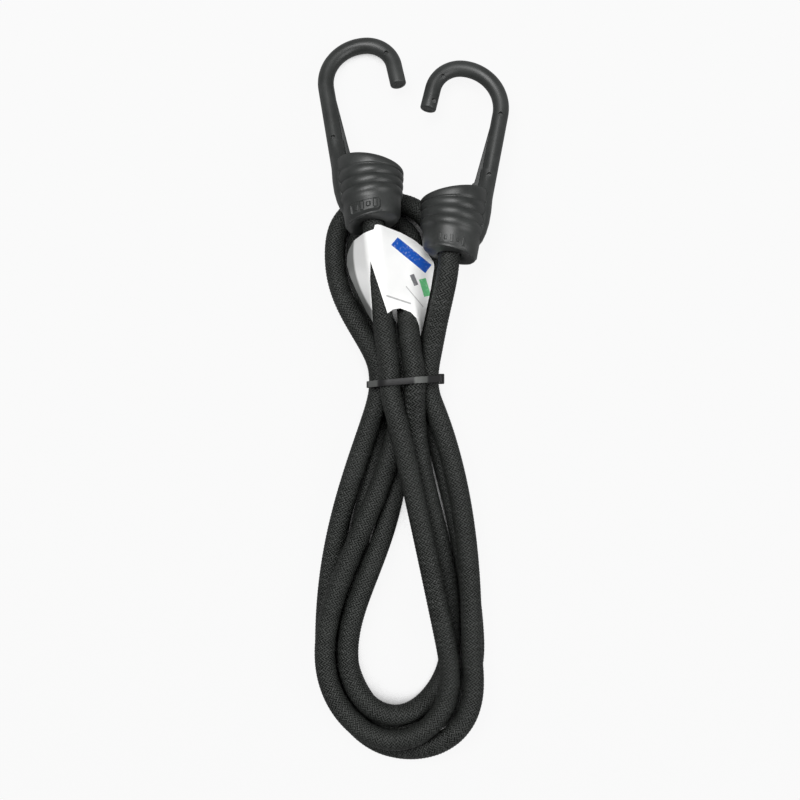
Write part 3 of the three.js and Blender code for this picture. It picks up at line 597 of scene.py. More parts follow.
# %% The braid's material
def braid_material():
    """Yarns over and under each other: two slanting sets of stripes, one on top by turns."""
    m = Nodes("black braid")
    uv = m.add("ShaderNodeUVMap", uv_map="braid")
    u, v = m.split(uv.outputs["UV"])
    u = m.math("MULTIPLY", u, 1.15)
    a, b = m.math("ADD", v, u), m.math("SUBTRACT", v, u)
    step = m.math("SUBTRACT", m.math("FLOOR", a), m.math("FLOOR", b))
    over = m.math("MODULO", m.math("ADD", step, 400.0), 4.0)
    on_top = m.math("LESS_THAN", over, 1.5)

    def pick_height(width_way):
        near = m.math("MULTIPLY", m.math("SUBTRACT", m.math("FRACT", width_way), 0.5), 2.0)
        bulge = m.math("SUBTRACT", 1.0, m.math("POWER", m.math("ABSOLUTE", near), 2.0))
        yarns = m.math("SINE", m.math("MULTIPLY", width_way, 4 * math.pi))
        return m.weigh((bulge, 0.8), (m.math("ABSOLUTE", yarns), 0.2))

    top = m.math("MULTIPLY", on_top, pick_height(a))
    under = m.math("MULTIPLY", m.math("SUBTRACT", 1.0, on_top), pick_height(b))
    height = m.math("ADD", top, under)
    fuzz = m.noise(m.place(), 2600, 3.0, 0.7)
    patch = m.noise(m.place(), 55, 3.0, 0.6)
    level = m.weigh((height, 0.75), (fuzz, 0.5), (patch, 0.25))
    color = m.ramp(level, [(0.4, (0.0005, 0.0006, 0.0005)), (0.74, (0.0028, 0.003, 0.0028)),
                           (1.02, (0.040, 0.043, 0.040))])
    relief = m.weigh((height, 1.0), (fuzz, 0.35))
    return m.surface(color, m.spread(fuzz, 0.3, 0.7, 0.28, 0.46), m.bump(relief, 1.0, 0.00038),
                     specular=0.27)


BRAID = braid_material()
print(BRAID.name, "nodes:", len(BRAID.node_tree.nodes))

# %% Three stretches of one cord
CORD_RADIUS = (CORD / 2 + 0.1) * MM
cord = {name: dress(braided_tube("cord_" + name, path, CORD_RADIUS), BRAID)
        for name, path in paths.items()}

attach(cord["hank"], "hank")
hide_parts("cord_hank_sheath", "cord_hank_core")
for side in ("left", "right"):
    piece = cord[side]
    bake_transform(piece)
    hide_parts(f"cord_leg_{side}_sheath", f"cord_leg_{side}_core")

# %% [markdown]
# ## The hooks
#
# Each hook is a steel wire, bent to a long open hook and covered with dark plastic. The same
# shot of plastic forms the collar that the cord's end sits in. A hook like this could be
# swept along a curve, but extrude and spin in edit mode are closer to how the wire itself is
# bent, and each bend keeps its exact radius. Everything is drawn flat in millimetres, with
# the cord's end at the origin and +Y along the hook, then laid in place at the end.

# %% The hook's sizes, in millimetres
HOOK_LENGTH = 91.2
COVER = 3.6
WIRE_ROOM = 2.05
ROOT_REACH = 12.0
FLANK_REACH = 13.1
COLLAR_LENGTH = 27.2
BACK_BEND, TIP_BEND = 18.6, 12.7
BEND_SHIFT = 1.5
BACK_CENTRE = (BEND_SHIFT, HOOK_LENGTH - COVER - BACK_BEND)
TIP_CENTRE = (BEND_SHIFT, HOOK_LENGTH - COVER - TIP_BEND)
TIP_STRAIGHT = 10.3
TIP_FLARE = math.radians(8)
ROOT_BEND = 30.0


def shank_lean(root_reach):
    """The shank's lean and length: it runs into the back bend without a corner."""
    across, up = BACK_CENTRE[0] + root_reach, BACK_CENTRE[1] - COLLAR_LENGTH
    far = math.hypot(across, up)
    lean = math.asin(BACK_BEND / far) - math.atan2(across, up)
    return lean, math.sqrt(far ** 2 - BACK_BEND ** 2)


SHANK_LEAN = shank_lean(FLANK_REACH)[0]
print("shank leans", round(math.degrees(SHANK_LEAN), 2), "degrees")


def on_bend(centre, radius, angle):
    return (centre[0] + radius * math.cos(angle), centre[1] + radius * math.sin(angle))


def shank_at(height):
    """How far to the side the shank's middle is, at a height along the hook."""
    return -FLANK_REACH - math.tan(SHANK_LEAN) * max(height - COLLAR_LENGTH, 0)


# %% Edit-mode helpers
def open_mesh(piece):
    pick(piece)
    bpy.ops.object.mode_set(mode="EDIT")
    bpy.ops.mesh.select_all(action="SELECT")


def draw_out(x, y, z=0.0):
    bpy.ops.mesh.extrude_region_move(TRANSFORM_OT_translate={"value": (x, y, z)})


def widen(value, centre):
    bpy.ops.transform.resize(value=value, center_override=centre)


def swing(degrees, centre, steps):
    """Spins what is selected round a centre, clockwise as seen from above."""
    bpy.ops.mesh.spin(steps=steps, angle=math.radians(degrees), center=(*centre, 0),
                      axis=(0, 0, 1))


def close_ends():
    bpy.ops.mesh.select_all(action="DESELECT")
    bpy.ops.mesh.select_non_manifold()
    bpy.ops.mesh.fill_holes(sides=0)


def start_ring(name, radius, place, sides):
    """A circle across the hook, left open in edit mode, ready to be drawn out along it."""
    deselect()
    bpy.ops.mesh.primitive_circle_add(vertices=sides, radius=radius, location=place,
                                      rotation=(-math.pi / 2, 0, 0))
    ring = settle(bpy.context.object)
    ring.name = name
    open_mesh(ring)
    return ring


def lay(piece, place, degrees):
    """Takes a piece from the hook's millimetres to its place in the part."""
    piece.matrix_world = place
    return smooth(settle(piece), degrees)


# %% A round bar bent to the hook's line
# The rounding of its tip: how far each ring lies beyond the last, and how much it narrows.
TIP_RINGS, TIP_ROUNDING = ((0.35, 0.985), (0.3, 0.955), (0.17, 0.93), (0.08, 0.9)), 0.9


def bent_bar(name, radius, root, side_way, short=0.0, rounded=True, sides=40):
    lean_by, straight_part = shank_lean(side_way)
    bar = start_ring(name, radius, (-side_way, root, 0), sides)
    half = ROOT_BEND * math.tan(lean_by / 2)
    draw_out(0, COLLAR_LENGTH - half - root)
    swing(-math.degrees(lean_by), (-side_way - ROOT_BEND, COLLAR_LENGTH - half), 3)
    lean = (-math.sin(lean_by), math.cos(lean_by))
    length = straight_part - half
    for _ in range(8):
        draw_out(lean[0] * length / 8, lean[1] * length / 8)
    swing(90 + math.degrees(lean_by), BACK_CENTRE, 40)
    swing(90 - math.degrees(TIP_FLARE), TIP_CENTRE, 30)
    way = (math.sin(TIP_FLARE), -math.cos(TIP_FLARE))
    x, y = on_bend(TIP_CENTRE, TIP_BEND, TIP_FLARE)
    straight = TIP_STRAIGHT - short - (TIP_ROUNDING if rounded else 0)
    draw_out(way[0] * straight, way[1] * straight)
    x, y = x + way[0] * straight, y + way[1] * straight
    if rounded:
        for along_way, factor in TIP_RINGS:
            draw_out(way[0] * along_way, way[1] * along_way)
            x, y = x + way[0] * along_way, y + way[1] * along_way
            widen((factor, factor, factor), (x, y, 0))
        draw_out(0, 0)
        widen((0.72, 0.72, 0.72), (x, y, 0))
        draw_out(-way[0] * 0.25, -way[1] * 0.25)
        widen((0.9, 0.9, 0.9), (x, y, 0))
    close_ends()
    return clean(bar, 0.001)


# %% [markdown]
# ## The collar
#
# The collar is a turned form: a ribbed outer wall that flares to a plain band at the rim, a
# conical cup, and a narrow bore for the cord. It grows from one circle, ring by ring, along
# a list of radius and height. The mould was parted at a slant, so the ribs and the small end
# slope: a last move shifts each point along the collar by how far to the side it is.

# %% The collar's outline
SMALL, WIDE, RIM, CUP_WALL = 12.0, 14.2, 14.75, 4.2
BAND, RIB_START, RIBS, RIB_RISE = 5.0, 9.6, 3, 0.68
MOUTH, MOUTH_DEPTH, THROAT = 5.0, 8.6, 8.0
END_SKEW, RIM_SKEW, LEVEL = math.tan(math.radians(9)), math.tan(math.radians(13)), 0.77


def wall(h):
    """The outer radius under the ribs, at a height over the small end."""
    return SMALL + (WIDE - SMALL) * h / (COLLAR_LENGTH - BAND)


def collar_outline():
    points = [(MOUTH, 0.5), (MOUTH + 0.5, 0), (SMALL - 1.3, 0), (SMALL - 0.8, 0.12),
              (SMALL - 0.5, 0.4), (SMALL - 0.35, 0.8)]
    points += [(wall(h), h) for h in (1.4, 4.0, 6.0, 8.0)]
    pitch = (COLLAR_LENGTH - BAND - RIB_START) / RIBS
    for i in range(RIBS):
        for k in range(7):
            share = k / 7
            h = RIB_START + pitch * (i + share)
            points.append((wall(h) + RIB_RISE * math.sin(math.pi * share) ** 0.7, h))
    top = COLLAR_LENGTH
    points += [(WIDE, top - BAND), (WIDE + 0.05, top - BAND + 0.25),
               (RIM - 0.15, top - BAND + 0.55), (RIM, top - BAND + 0.95),
               (RIM + 0.12, top - 2.0), (RIM + 0.05, top - 1.1),
               (RIM - 0.2, top - 0.5), (RIM - 0.6, top - 0.12), (RIM - 1.2, top),
               (RIM - CUP_WALL + 0.6, top), (RIM - CUP_WALL + 0.15, top - 0.15),
               (RIM - CUP_WALL, top - 0.6)]
    for share in (0.25, 0.5, 0.75, 1.0):
        points.append((RIM - CUP_WALL + (THROAT - RIM + CUP_WALL) * share,
                       top - 0.6 + (MOUTH_DEPTH - top + 0.6) * share))
    points += [(MOUTH + 0.3, MOUTH_DEPTH), (MOUTH, MOUTH_DEPTH - 0.3)]
    return points


def turned_ring(name, outline):
    radius, height = outline[0]
    ring = start_ring(name, radius, (0, height, 0), 144)
    for r, h in outline[1:] + outline[:1]:
        draw_out(0, h - height)
        widen((r / radius, 1, r / radius), (0, h, 0))
        radius, height = r, h
    return clean(ring, 0.002)


def slant(piece):
    """Slopes the small end and the ribs one way and the rim the other. The bore stays."""
    for vertex in piece.data.vertices:
        x, y, z = vertex.co
        share = min(max(y / COLLAR_LENGTH, 0), 1)
        outside = min(max((math.hypot(x, z) - THROAT) / (SMALL - 0.8 - THROAT), 0), 1)
        lean = END_SKEW * (1 - share / LEVEL)
        if share >= LEVEL:
            lean = -RIM_SKEW * (share - LEVEL) / (1 - LEVEL)
        vertex.co.y = y + lean * x * outside
    piece.data.update()
    return piece


# %% The raised plate on one face of the collar, and plain bars on both faces
PLATE_LENGTH, PLATE_HEIGHT, PLATE_START, PLATE_SHIFT = 16.2, 6.0, 0.75, -3.9
PLATE_RISE, BAR_RISE, BAR_WIDTH = 1.35, 0.55, 1.5
BAR_HEIGHTS = (0.66, 0.42, 0.66, 0.34, 0.66)


def rounded_mask(x, y, half_x, half_y, corner, soft):
    """1 inside a rectangle with rounded corners, 0 outside, with a soft edge."""
    dx, dy = max(abs(x) - half_x + corner, 0), max(abs(y) - half_y + corner, 0)
    gap = corner - math.hypot(dx, dy)
    return min(max(gap / soft, 0), 1)


def name_plate(name, plate_rise=PLATE_RISE, shift=PLATE_SHIFT, turned=0.0):
    """The plate with its bars, or bars alone where the plate stays under the surface."""
    deselect()
    bpy.ops.mesh.primitive_grid_add(x_subdivisions=100, y_subdivisions=44, size=1)
    plate = bpy.context.object
    plate.name = name
    for vertex in plate.data.vertices:
        s, w = vertex.co.x * (PLATE_LENGTH + 1.0), vertex.co.y * (PLATE_HEIGHT + 1.0)
        rise = plate_rise * rounded_mask(s, w, PLATE_LENGTH / 2, PLATE_HEIGHT / 2, 1.9, 0.85)
        for i, height in enumerate(BAR_HEIGHTS):
            middle = -PLATE_LENGTH / 2 + PLATE_LENGTH * (i + 1) / (len(BAR_HEIGHTS) + 1)
            rise += BAR_RISE * rounded_mask(s - middle, w, BAR_WIDTH / 2 + 0.1,
                                            PLATE_HEIGHT * height / 2, 0.5, 0.35)
        h = PLATE_START + PLATE_HEIGHT / 2 + w
        radius = wall(h) - 0.3 + rise
        angle = (s + shift) / (SMALL + 0.4) + turned
        vertex.co = (radius * math.sin(angle), h, radius * math.cos(angle))
    open_mesh(plate)
    bpy.ops.mesh.extrude_region_move()
    widen((0.86, 1, 0.86), (0, 0, 0))
    return clean(plate, 0.002)


# %% Flat pieces and small cutters
def flat_form(name, outline, low, high, edge):
    """A flat piece with rounded edges: an outline, extruded, then bevelled."""
    deselect()
    bpy.ops.mesh.primitive_circle_add(vertices=len(outline), fill_type="NGON")
    form = bpy.context.object
    form.name = name
    for vertex, (x, y) in zip(form.data.vertices, outline):
        vertex.co = (x, y, low)
    open_mesh(form)
    draw_out(0, 0, high - low)
    clean(form, 0.002)
    return bevel(form, edge, 3, 50) if edge else form


def round_cutter(x, y, low, high):
    deselect()
    bpy.ops.mesh.primitive_cylinder_add(vertices=20, radius=PIN, depth=high - low,
                                        location=(x, y, (low + high) / 2))
    return settle(bpy.context.object)


def nick(x, y, heading, side):
    """A shallow slit across one flank of the bar, where two halves of the mould met."""
    deselect()
    out = side * (COVER + 1.2)
    bpy.ops.mesh.primitive_cylinder_add(
        vertices=24, radius=2.0, depth=0.55, rotation=(math.pi / 2, 0, heading),
        location=(x + math.cos(heading) * out, y + math.sin(heading) * out, 0.6))
    return settle(bpy.context.object)


# %% The web, the shank's foot and the marks, all measured from the hook's own line
PIN, PIN_FLOOR = 1.05, 2.35
UPPER_PINS = [on_bend(TIP_CENTRE, TIP_BEND - 1.3, math.radians(34)),
              (shank_at(41.2) - 0.6, 41.2)]
LOWER_PINS = [on_bend(TIP_CENTRE, TIP_BEND - 1.8, math.radians(38)),
              (13.1, TIP_CENTRE[1] - 5.1),
              on_bend(BACK_CENTRE, BACK_BEND, math.radians(188.5)), (shank_at(37.5), 37.5)]
NICKS = [(*on_bend(BACK_CENTRE, BACK_BEND, math.radians(180)), 0.0, -1),
         (*on_bend(BACK_CENTRE, BACK_BEND, math.radians(181)), 0.0, 1),
         (shank_at(38.0) + 2.2, 38.0, SHANK_LEAN, 1)]
BOSS = [(-12.2, 11.5), (-9.0, 11.5), (-8.1, 16.0), (-8.5, COLLAR_LENGTH + 1.4),
        (-13.6, COLLAR_LENGTH + 2.0)]
# The web's heights over the rim, and how far it reaches from the bar. Above, it tapers off.
WEB_REACH = [(-2, 7.4), (-0.1, 7.2), (0.25, 5.6), (0.9, 4.4), (1.9, 3.6), (3.2, 3.15),
             (6.2, 2.95), (6.9, 2.2), (9.0, 1.95)]
WEB_TOP = 66.0
# The foot's rings: the height over the rim, the middle, and the reach sideways and up.
ROOT_RINGS = [
    (13.0, -13.75, 3.5, 3.5), (8.0, -13.5, 3.65, 3.75), (5.0, -13.2, 3.75, 4.3),
    (3.0, -13.0, 3.85, 4.95), (0.0, -12.75, 4.0, 5.5), (-6.0, -12.55, 4.1, 5.6),
    (-11.0, -12.4, 3.8, 5.2), (-15.5, -11.9, 3.4, 4.6), (-19.3, -11.3, 2.7, 3.6),
    (-21.4, -10.9, 1.8, 2.4),
]
print("pins:", len(UPPER_PINS + LOWER_PINS), "nicks:", len(NICKS))


def web():
    """A thin fin in the fork between the shank and the collar's rim."""
    fork, reach = WEB_REACH[-1]
    free = WEB_TOP - COLLAR_LENGTH - fork
    taper = [(fork + k, reach * (1 - k / free) - 0.4 * k / 29) for k in range(4, 29, 4)]
    outline = [(shank_at(h), h) for h in (WEB_TOP, COLLAR_LENGTH - 2)]
    outline += [(shank_at(COLLAR_LENGTH + rise) + COVER + out, COLLAR_LENGTH + rise)
                for rise, out in WEB_REACH + taper]
    return flat_form("web", outline, -1.15, 1.15, 0.4)


def shank_root():
    """The shank's foot widens into the collar's flank and tapers out along it."""
    height, middle, reach, depth = ROOT_RINGS[0]
    root = start_ring("root", reach, (middle, COLLAR_LENGTH + height, 0), 40)
    for rise, x, half_x, half_z in ROOT_RINGS[1:]:
        draw_out(x - middle, rise - height)
        widen((half_x / reach, 1, half_z / depth), (x, COLLAR_LENGTH + rise, 0))
        height, middle, reach, depth = rise, x, half_x, half_z
    close_ends()
    return clean(root, 0.001)


# %% The hook's cover, put together
def hook_cover(side_name, place):
    cover = slant(turned_ring(side_name + "_hook", collar_outline()))
    for part in (flat_form("boss", BOSS, -3.3, 3.3, 1.1), shank_root(),
                 bent_bar("bar", COVER, COLLAR_LENGTH - 4, FLANK_REACH), web(),
                 slant(name_plate("plate")), slant(name_plate("marks", 0.0, 0.0, math.pi))):
        boolean(cover, part, "UNION")
    cutters = [bent_bar("wire room", WIRE_ROOM, 17.0, ROOT_REACH, short=2.7, rounded=False,
                        sides=20)]
    cutters += [round_cutter(x, y, PIN_FLOOR, 5.0) for x, y in UPPER_PINS]
    cutters += [round_cutter(x, y, -5.0, -PIN_FLOOR) for x, y in LOWER_PINS]
    cutters += [nick(*mark) for mark in NICKS]
    for cutter in cutters:
        boolean(cover, cutter, "DIFFERENCE")
    lay(clean(cover, 0.002), place, 38)
    print(cover.name, "faces:", len(cover.data.polygons))
    return cover


# %% [markdown]
# ## Dark moulded plastic
#
# The cover is a semi-soft plastic, dark grey and satin: lamps leave long soft streaks on it
# and not points. Colour and gloss waver a little over the surface, a fine grain from the
# mould breaks up the shine, and scattered scuffs are paler and rougher. The same material,
# darker, serves for the tie. There two facets of the strap are painted paler, a painted
# highlight where they lie flat under the lamps.


# %% The hooks' material
def moulded_plastic(name, dark, light, gloss, grain_size=1800, painted_highlights=()):
    """Painted highlights on facets, if any, each have a middle and a half width in the part's
    X, in mm.
    """
    m = Nodes(name)
    place = m.place()
    cloud = m.noise(place, 70, 3.0, 0.6)
    grain = m.noise(place, grain_size, 2.0, 0.6)
    scuff = m.noise(place, 420, 6.0, 0.75)
    worn = m.spread(scuff, 0.6, 0.78, 0.0, 1.0)
    level = m.weigh((cloud, 0.7), (grain, 0.3), (worn, 0.35))
    color = m.ramp(level, [(0.3, dark), (0.62, light), (1.0, tuple(v * 1.4 for v in light))])
    x = m.split(place)[0]
    for middle, half in painted_highlights:
        away = m.math("ABSOLUTE", m.math("SUBTRACT", x, middle * MM))
        painted_highlight_band = m.spread(away, half * 0.7 * MM, half * MM, 1.0, 0.0)
        # Each band is tinted paler: a painted highlight on a facet of the strap.
        color = m.tinted(color, (0.09, 0.094, 0.09), painted_highlight_band)
    rough = m.spread(cloud, 0.3, 0.7, gloss, gloss + 0.12)
    rough = m.math("ADD", rough, m.math("MULTIPLY", worn, 0.12), clamp=True)
    relief = m.weigh((grain, 0.7), (scuff, 0.6))
    return m.surface(color, rough, m.bump(relief, 0.35, 0.00006), specular=0.36)


HOOK_PLASTIC = moulded_plastic("dark hook plastic", (0.019, 0.0202, 0.0196),
                               (0.034, 0.036, 0.035), 0.35)


# %% Drawn wire and rolled strip
def bare_steel(name, tint, gloss):
    m = Nodes(name)
    place = m.place()
    streak = m.noise(place, 2200, 3.0, 0.7)
    cloud = m.noise(place, 160, 3.0, 0.6)
    return m.surface(m.ramp(cloud, [(0.3, tuple(v * 0.8 for v in tint)), (0.7, tint)]),
                     m.spread(streak, 0.3, 0.7, gloss, gloss + 0.18),
                     m.bump(streak, 0.3, 0.00003), metallic=1.0)


WIRE_STEEL = bare_steel("drawn steel wire", (0.62, 0.64, 0.66), 0.25)
CLIP_STEEL = bare_steel("rolled steel strip", (0.56, 0.58, 0.60), 0.3)
print("materials:", [m.name for m in (HOOK_PLASTIC, WIRE_STEEL, CLIP_STEEL)])

# %% Both hooks laid in place
frames = {"left": (LEFT_EXIT, LEFT_FORWARD, False), "right": (RIGHT_EXIT, RIGHT_FORWARD, True)}


def hook_place(side):
    """From the hook's own millimetres to its place in the part."""
    leaving, forward, flipped = frames[side]
    forward = Vector(forward).normalized()
    across = forward.cross(Vector((0, 0, 1))).normalized()
    face = across.cross(forward)
    turn = Matrix((across, forward, face)).transposed().to_4x4()
    if flipped:
        turn = turn @ Matrix.Rotation(math.pi, 4, "Y")
    return Matrix.Translation(Vector((leaving + SHIFT) * MM)) @ turn @ Matrix.Scale(MM, 4)


for side in ("left", "right"):
    cover = hook_cover(side, hook_place(side))
    dress(cover, HOOK_PLASTIC)
    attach(cover, side + "_hook")
    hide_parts(side + "_hook_shell")
    dress(bpy.data.objects[side + "_hook_core"], WIRE_STEEL)

# %% [markdown]
# ## The tie
#
# A small black nylon tie draws the ten strands together. Drawn tight, a strap runs straight
# from strand to strand: its line is the outline, the hull, of ten circles side by side. The
# strap is one loop of that line pulled out to its width, then given a wall and a bevel.

# %% The strap's line round the waist
TIE_WIDTH, TIE_WALL, TIE_GAP, TIE_SLANT = 2.9, 1.05, 0.3, 0.085
# Two bands of the strap painted paler as painted highlights: a middle and a half width in X, in
# mm.
TIE_PAINTED_HIGHLIGHTS = ((4.0, 3.4), (-17.2, 2.6))


def hull(points):
    """The outline round a set of points, anticlockwise."""
    points = sorted(set(points))

    def half(row):
        out = []
        for p in row:
            while len(out) > 1 and ((out[-1][0] - out[-2][0]) * (p[1] - out[-2][1])
                                    - (out[-1][1] - out[-2][1]) * (p[0] - out[-2][0])) <= 0:
                out.pop()
            out.append(p)
        return out[:-1]

    return half(points) + half(points[::-1])


def circle_points(x, z, radius, count=48):
    return [(x + radius * math.cos(2 * math.pi * i / count),
             z + radius * math.sin(2 * math.pi * i / count)) for i in range(count)]


def round_waist(radius):
    points = [p for run in RUNS for p in circle_points(*waist_place(run), radius)]
    line = np.array(hull(points))
    line[:, 1] = np.maximum(line[:, 1], TABLE_CUT + 0.1)
    closed = np.vstack([line, line[:1]])
    return resample(np.column_stack([closed, np.zeros(len(closed))]), 0.6)[:-1, :2]


def to_part(piece):
    """From the waist's millimetres to the part's metres."""
    to_metres = Matrix.Translation(Vector(SHIFT * MM)) @ Matrix.Scale(MM, 4)
    piece.matrix_world = to_metres @ piece.matrix_world
    return settle(piece)


def strap():
    line = round_waist(CORD / 2 + TIE_GAP)
    deselect()
    bpy.ops.mesh.primitive_circle_add(vertices=len(line))
    band = bpy.context.object
    for vertex, (x, z) in zip(band.data.vertices, line):
        vertex.co = (x, TIE_SLANT * x - TIE_WIDTH / 2, z)
    open_mesh(band)
    draw_out(0, TIE_WIDTH)
    bpy.ops.object.mode_set(mode="OBJECT")
    middle = Vector((line[:, 0].mean(), 0, line[:, 1].mean()))
    face = band.data.polygons[0]
    if face.normal.dot(face.center - middle) < 0:
        band.data.flip_normals()
    return bevel(thicken(band, TIE_WALL, 1), 0.22, 2, 60)


# %% The tie's head, window, pawl and tail
def block(size, place, edge=0.0):
    """A box of that size round that place, in the head's own directions."""
    deselect()
    bpy.ops.mesh.primitive_cube_add(size=1, location=place, scale=size)
    box = settle(bpy.context.object)
    return bevel(box, edge, 3) if edge else box


def tie_head():
    """Drawn with x up along the flank, y along the cord and z outwards, then turned."""
    top, low = np.array(waist_place("D")), np.array(waist_place("S"))
    upward = (top - low) / np.linalg.norm(top - low)
    outward = np.array([upward[1], -upward[0]])
    middle = (top + low) / 2 + outward * (CORD / 2 + TIE_GAP + TIE_WALL)
    head = block((4.6, 4.6, 2.9), (0, 0, 1.2), 0.45)
    boolean(head, block((7, TIE_WIDTH + 0.3, 1.5), (0, 0, 1.1)), "DIFFERENCE")
    boolean(head, block((0.8, 2.2, 0.7), (0.6, 0, 2.55)), "DIFFERENCE")
    boolean(head, block((7.4, TIE_WIDTH, 1.0), (-1.0, 0, 1.1), 0.18), "UNION")
    for i in range(4):
        boolean(head, block((0.28, 2.0, 0.3), (-4.3 + 0.62 * i, 0, 1.62)), "DIFFERENCE")
    head.matrix_world = Matrix((
        (upward[0], 0, outward[0], middle[0]), (0, 1, 0, TIE_SLANT * middle[0]),
        (upward[1], 0, outward[1], middle[1]), (0, 0, 0, 1)))
    return settle(head)


tie = strap()
boolean(tie, tie_head(), "UNION")
to_part(tie)
tie.name = "waist_tie"
clean(tie)
smooth(tie, 30)
dress(tie, moulded_plastic("black nylon", (0.006, 0.006, 0.0063), (0.012, 0.012, 0.0125),
                           0.5, 900, painted_highlights=TIE_PAINTED_HIGHLIGHTS))
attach(tie, "hank")
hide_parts("cable_tie")
print("tie faces:", len(tie.data.polygons))

# %% [markdown]
# ## The label
#
# The label is a thin white film. It lies over the two raised strands and the left stretch,
# and hangs down a little at its sides. At each place along the cord its height is the upper
# side of the outline round the strands under it, so the film is drawn flat between them. A
# fine grid takes that height and a thin wall, and is then cut to the label's own outline:
# rounded at the top, with an arch cut in below and a long slit where a strand comes through.
# Its left margin, where the film hangs down, is painted grey as painted shade. Plain bars stand
# in place of print.

# %% The film's height
FILM_WALL, FILM_GAP = 0.22, 0.42
FILM_START, FILM_RUN = 18.5, 52.5
LEFT_DROP, LEFT_FLOOR, RIGHT_DROP = 5.5, 9.8, 0.6
RAISED_REACH, RAISED_HALF, RAISED_DEPTH = TOPS["raised"][3:6]
LEFT_EDGE = [(18, -13.5), (28, -17), (34, -20.1), (42, -24), (50, -26.6), (58, -27),
             (63, -26.2), (72, -23)]
RIGHT_EDGE = [(18, 7.2), (28, 9), (40, 11.6), (52, 13.6), (60, 11), (66, 6), (72, 2)]


def strand_at(line, y):
    row = np.argmin(np.abs(line[:, 1] - y))
    return line[row, 0], line[row, 2]


left_in_waist = paths["left"] / MM - SHIFT


def film_cross(y):
    """The film's cross line at one place along the cord, from left to right."""
    share = min((y - WAIST_HALF) / (RAISED_REACH - WAIST_HALF), 1)
    beyond = max(y - RAISED_REACH, 0) / RAISED_DEPTH
    inward = RAISED_HALF * (1 - math.sqrt(max(1 - beyond ** 2, 0)))
    arms = [shoulder_point("raised", side, share) for side in (-1, 1)]
    discs = [(arms[0][0] + inward, arms[0][2]), (arms[1][0] - inward, arms[1][2]),
             strand_at(left_in_waist, y)]
    points = [p for disc in discs for p in circle_points(*disc, CORD / 2 + FILM_GAP, 40)]
    under = min(arms[0][2], arms[1][2])
    x0 = float(np.interp(y, *zip(*LEFT_EDGE)))
    x1 = float(np.interp(y, *zip(*RIGHT_EDGE)))
    points += [(x0, max(under - LEFT_DROP, LEFT_FLOOR)), (x1, under - RIGHT_DROP)]
    outline = hull(points)
    start = min(range(len(outline)), key=lambda i: math.dist(outline[i], points[-2]))
    outline = outline[start:] + outline[:start]
    stop = min(range(len(outline)), key=lambda i: math.dist(outline[i], points[-1]))
    return np.array([outline[0]] + outline[stop:][::-1])


def film_grid():
    """One long sheet: the cross lines, each evenly divided, side by side."""
    rows, across = 96, 90
    deselect()
    bpy.ops.mesh.primitive_grid_add(x_subdivisions=across, y_subdivisions=rows, size=1)
    sheet = bpy.context.object
    lines = []
    for i in range(rows + 1):
        y = FILM_START + FILM_RUN * i / rows
        cross = film_cross(y)
        steps = np.concatenate([[0], np.cumsum(np.linalg.norm(np.diff(cross, axis=0), axis=1))])
        places = np.linspace(0, steps[-1], across + 1)
        lines.append([(np.interp(t, steps, cross[:, 0]), y, np.interp(t, steps, cross[:, 1]))
                      for t in places])
    lines = even_out(np.array(lines), 6)
    for vertex in sheet.data.vertices:
        i, k = round((vertex.co.y + 0.5) * rows), round((vertex.co.x + 0.5) * across)
        vertex.co = lines[i, k]
    return sheet


# %% The film's outline, and the film itself
FILM_OUTLINE = [
    (-18.9, 65.5), (-13.4, 67.3), (-12.9, 69.4), (-8.6, 70.2), (-1.8, 67.5), (4.3, 64.8),
    (9.2, 61.2), (14.2, 54.2), (14.4, 51), (12.9, 43), (11.4, 36), (9.4, 28), (7.4, 20.6),
    (6.9, 25), (5.6, 28.6), (3.0, 31.3), (-1.8, 32.9), (-5, 32.2), (-7.3, 30.3), (-11, 41.5),
    (-14.9, 53.2), (-15.1, 45), (-14.4, 35), (-13.9, 26.5), (-17.1, 32.0), (-21.5, 41.0),
    (-25, 49.2), (-26.3, 54), (-26.1, 58), (-25.1, 60.8), (-22.9, 64.0),
]
# The outline is written as seen at the strands' height, and the film lies nearer the camera.
STRAND_HEIGHT, FILM_HEIGHT = 14, 29
EYE = (VIEW_CENTRE[0] / MM - SHIFT[0], VIEW_CENTRE[1] / MM - SHIFT[1])
NEARER = (CAMERA_HEIGHT / MM - FILM_HEIGHT) / (CAMERA_HEIGHT / MM - STRAND_HEIGHT)
# Where the painted grey shade of the film's left margin begins, and how its edge bows.
SHADED_MARGIN_PLACE, SHADED_MARGIN_CURVE = (-22.3, 57.0), 12.5


def turned_room(leaving, forward):
    """The room that a collar takes up when it is turned on the cord."""
    forward = Vector(forward).normalized()
    deselect()
    bpy.ops.mesh.primitive_cone_add(vertices=64, radius1=SMALL + 1.0, radius2=RIM + 1.0,
                                    depth=COLLAR_LENGTH + 2.3)
    cone = bpy.context.object
    middle = Vector(leaving) + forward * (COLLAR_LENGTH - 2.3) / 2
    turn = forward.to_track_quat("Z", "Y").to_matrix().to_4x4()
    cone.matrix_world = Matrix.Translation(middle) @ turn
    return settle(cone)


film = thicken(film_grid(), FILM_WALL, 0)
outline = [(EYE[0] + (x - EYE[0]) * NEARER, EYE[1] + (y - EYE[1]) * NEARER)
           for x, y in FILM_OUTLINE]
boolean(film, flat_form("film cutter", outline, 5, 60, 0), "INTERSECT")
for leaving, forward in ((LEFT_EXIT, LEFT_FORWARD), (RIGHT_EXIT, RIGHT_FORWARD)):
    boolean(film, turned_room(leaving, forward), "DIFFERENCE")
to_part(film)
film.name = "label_sheet"
clean(film)
smooth(film, 30)


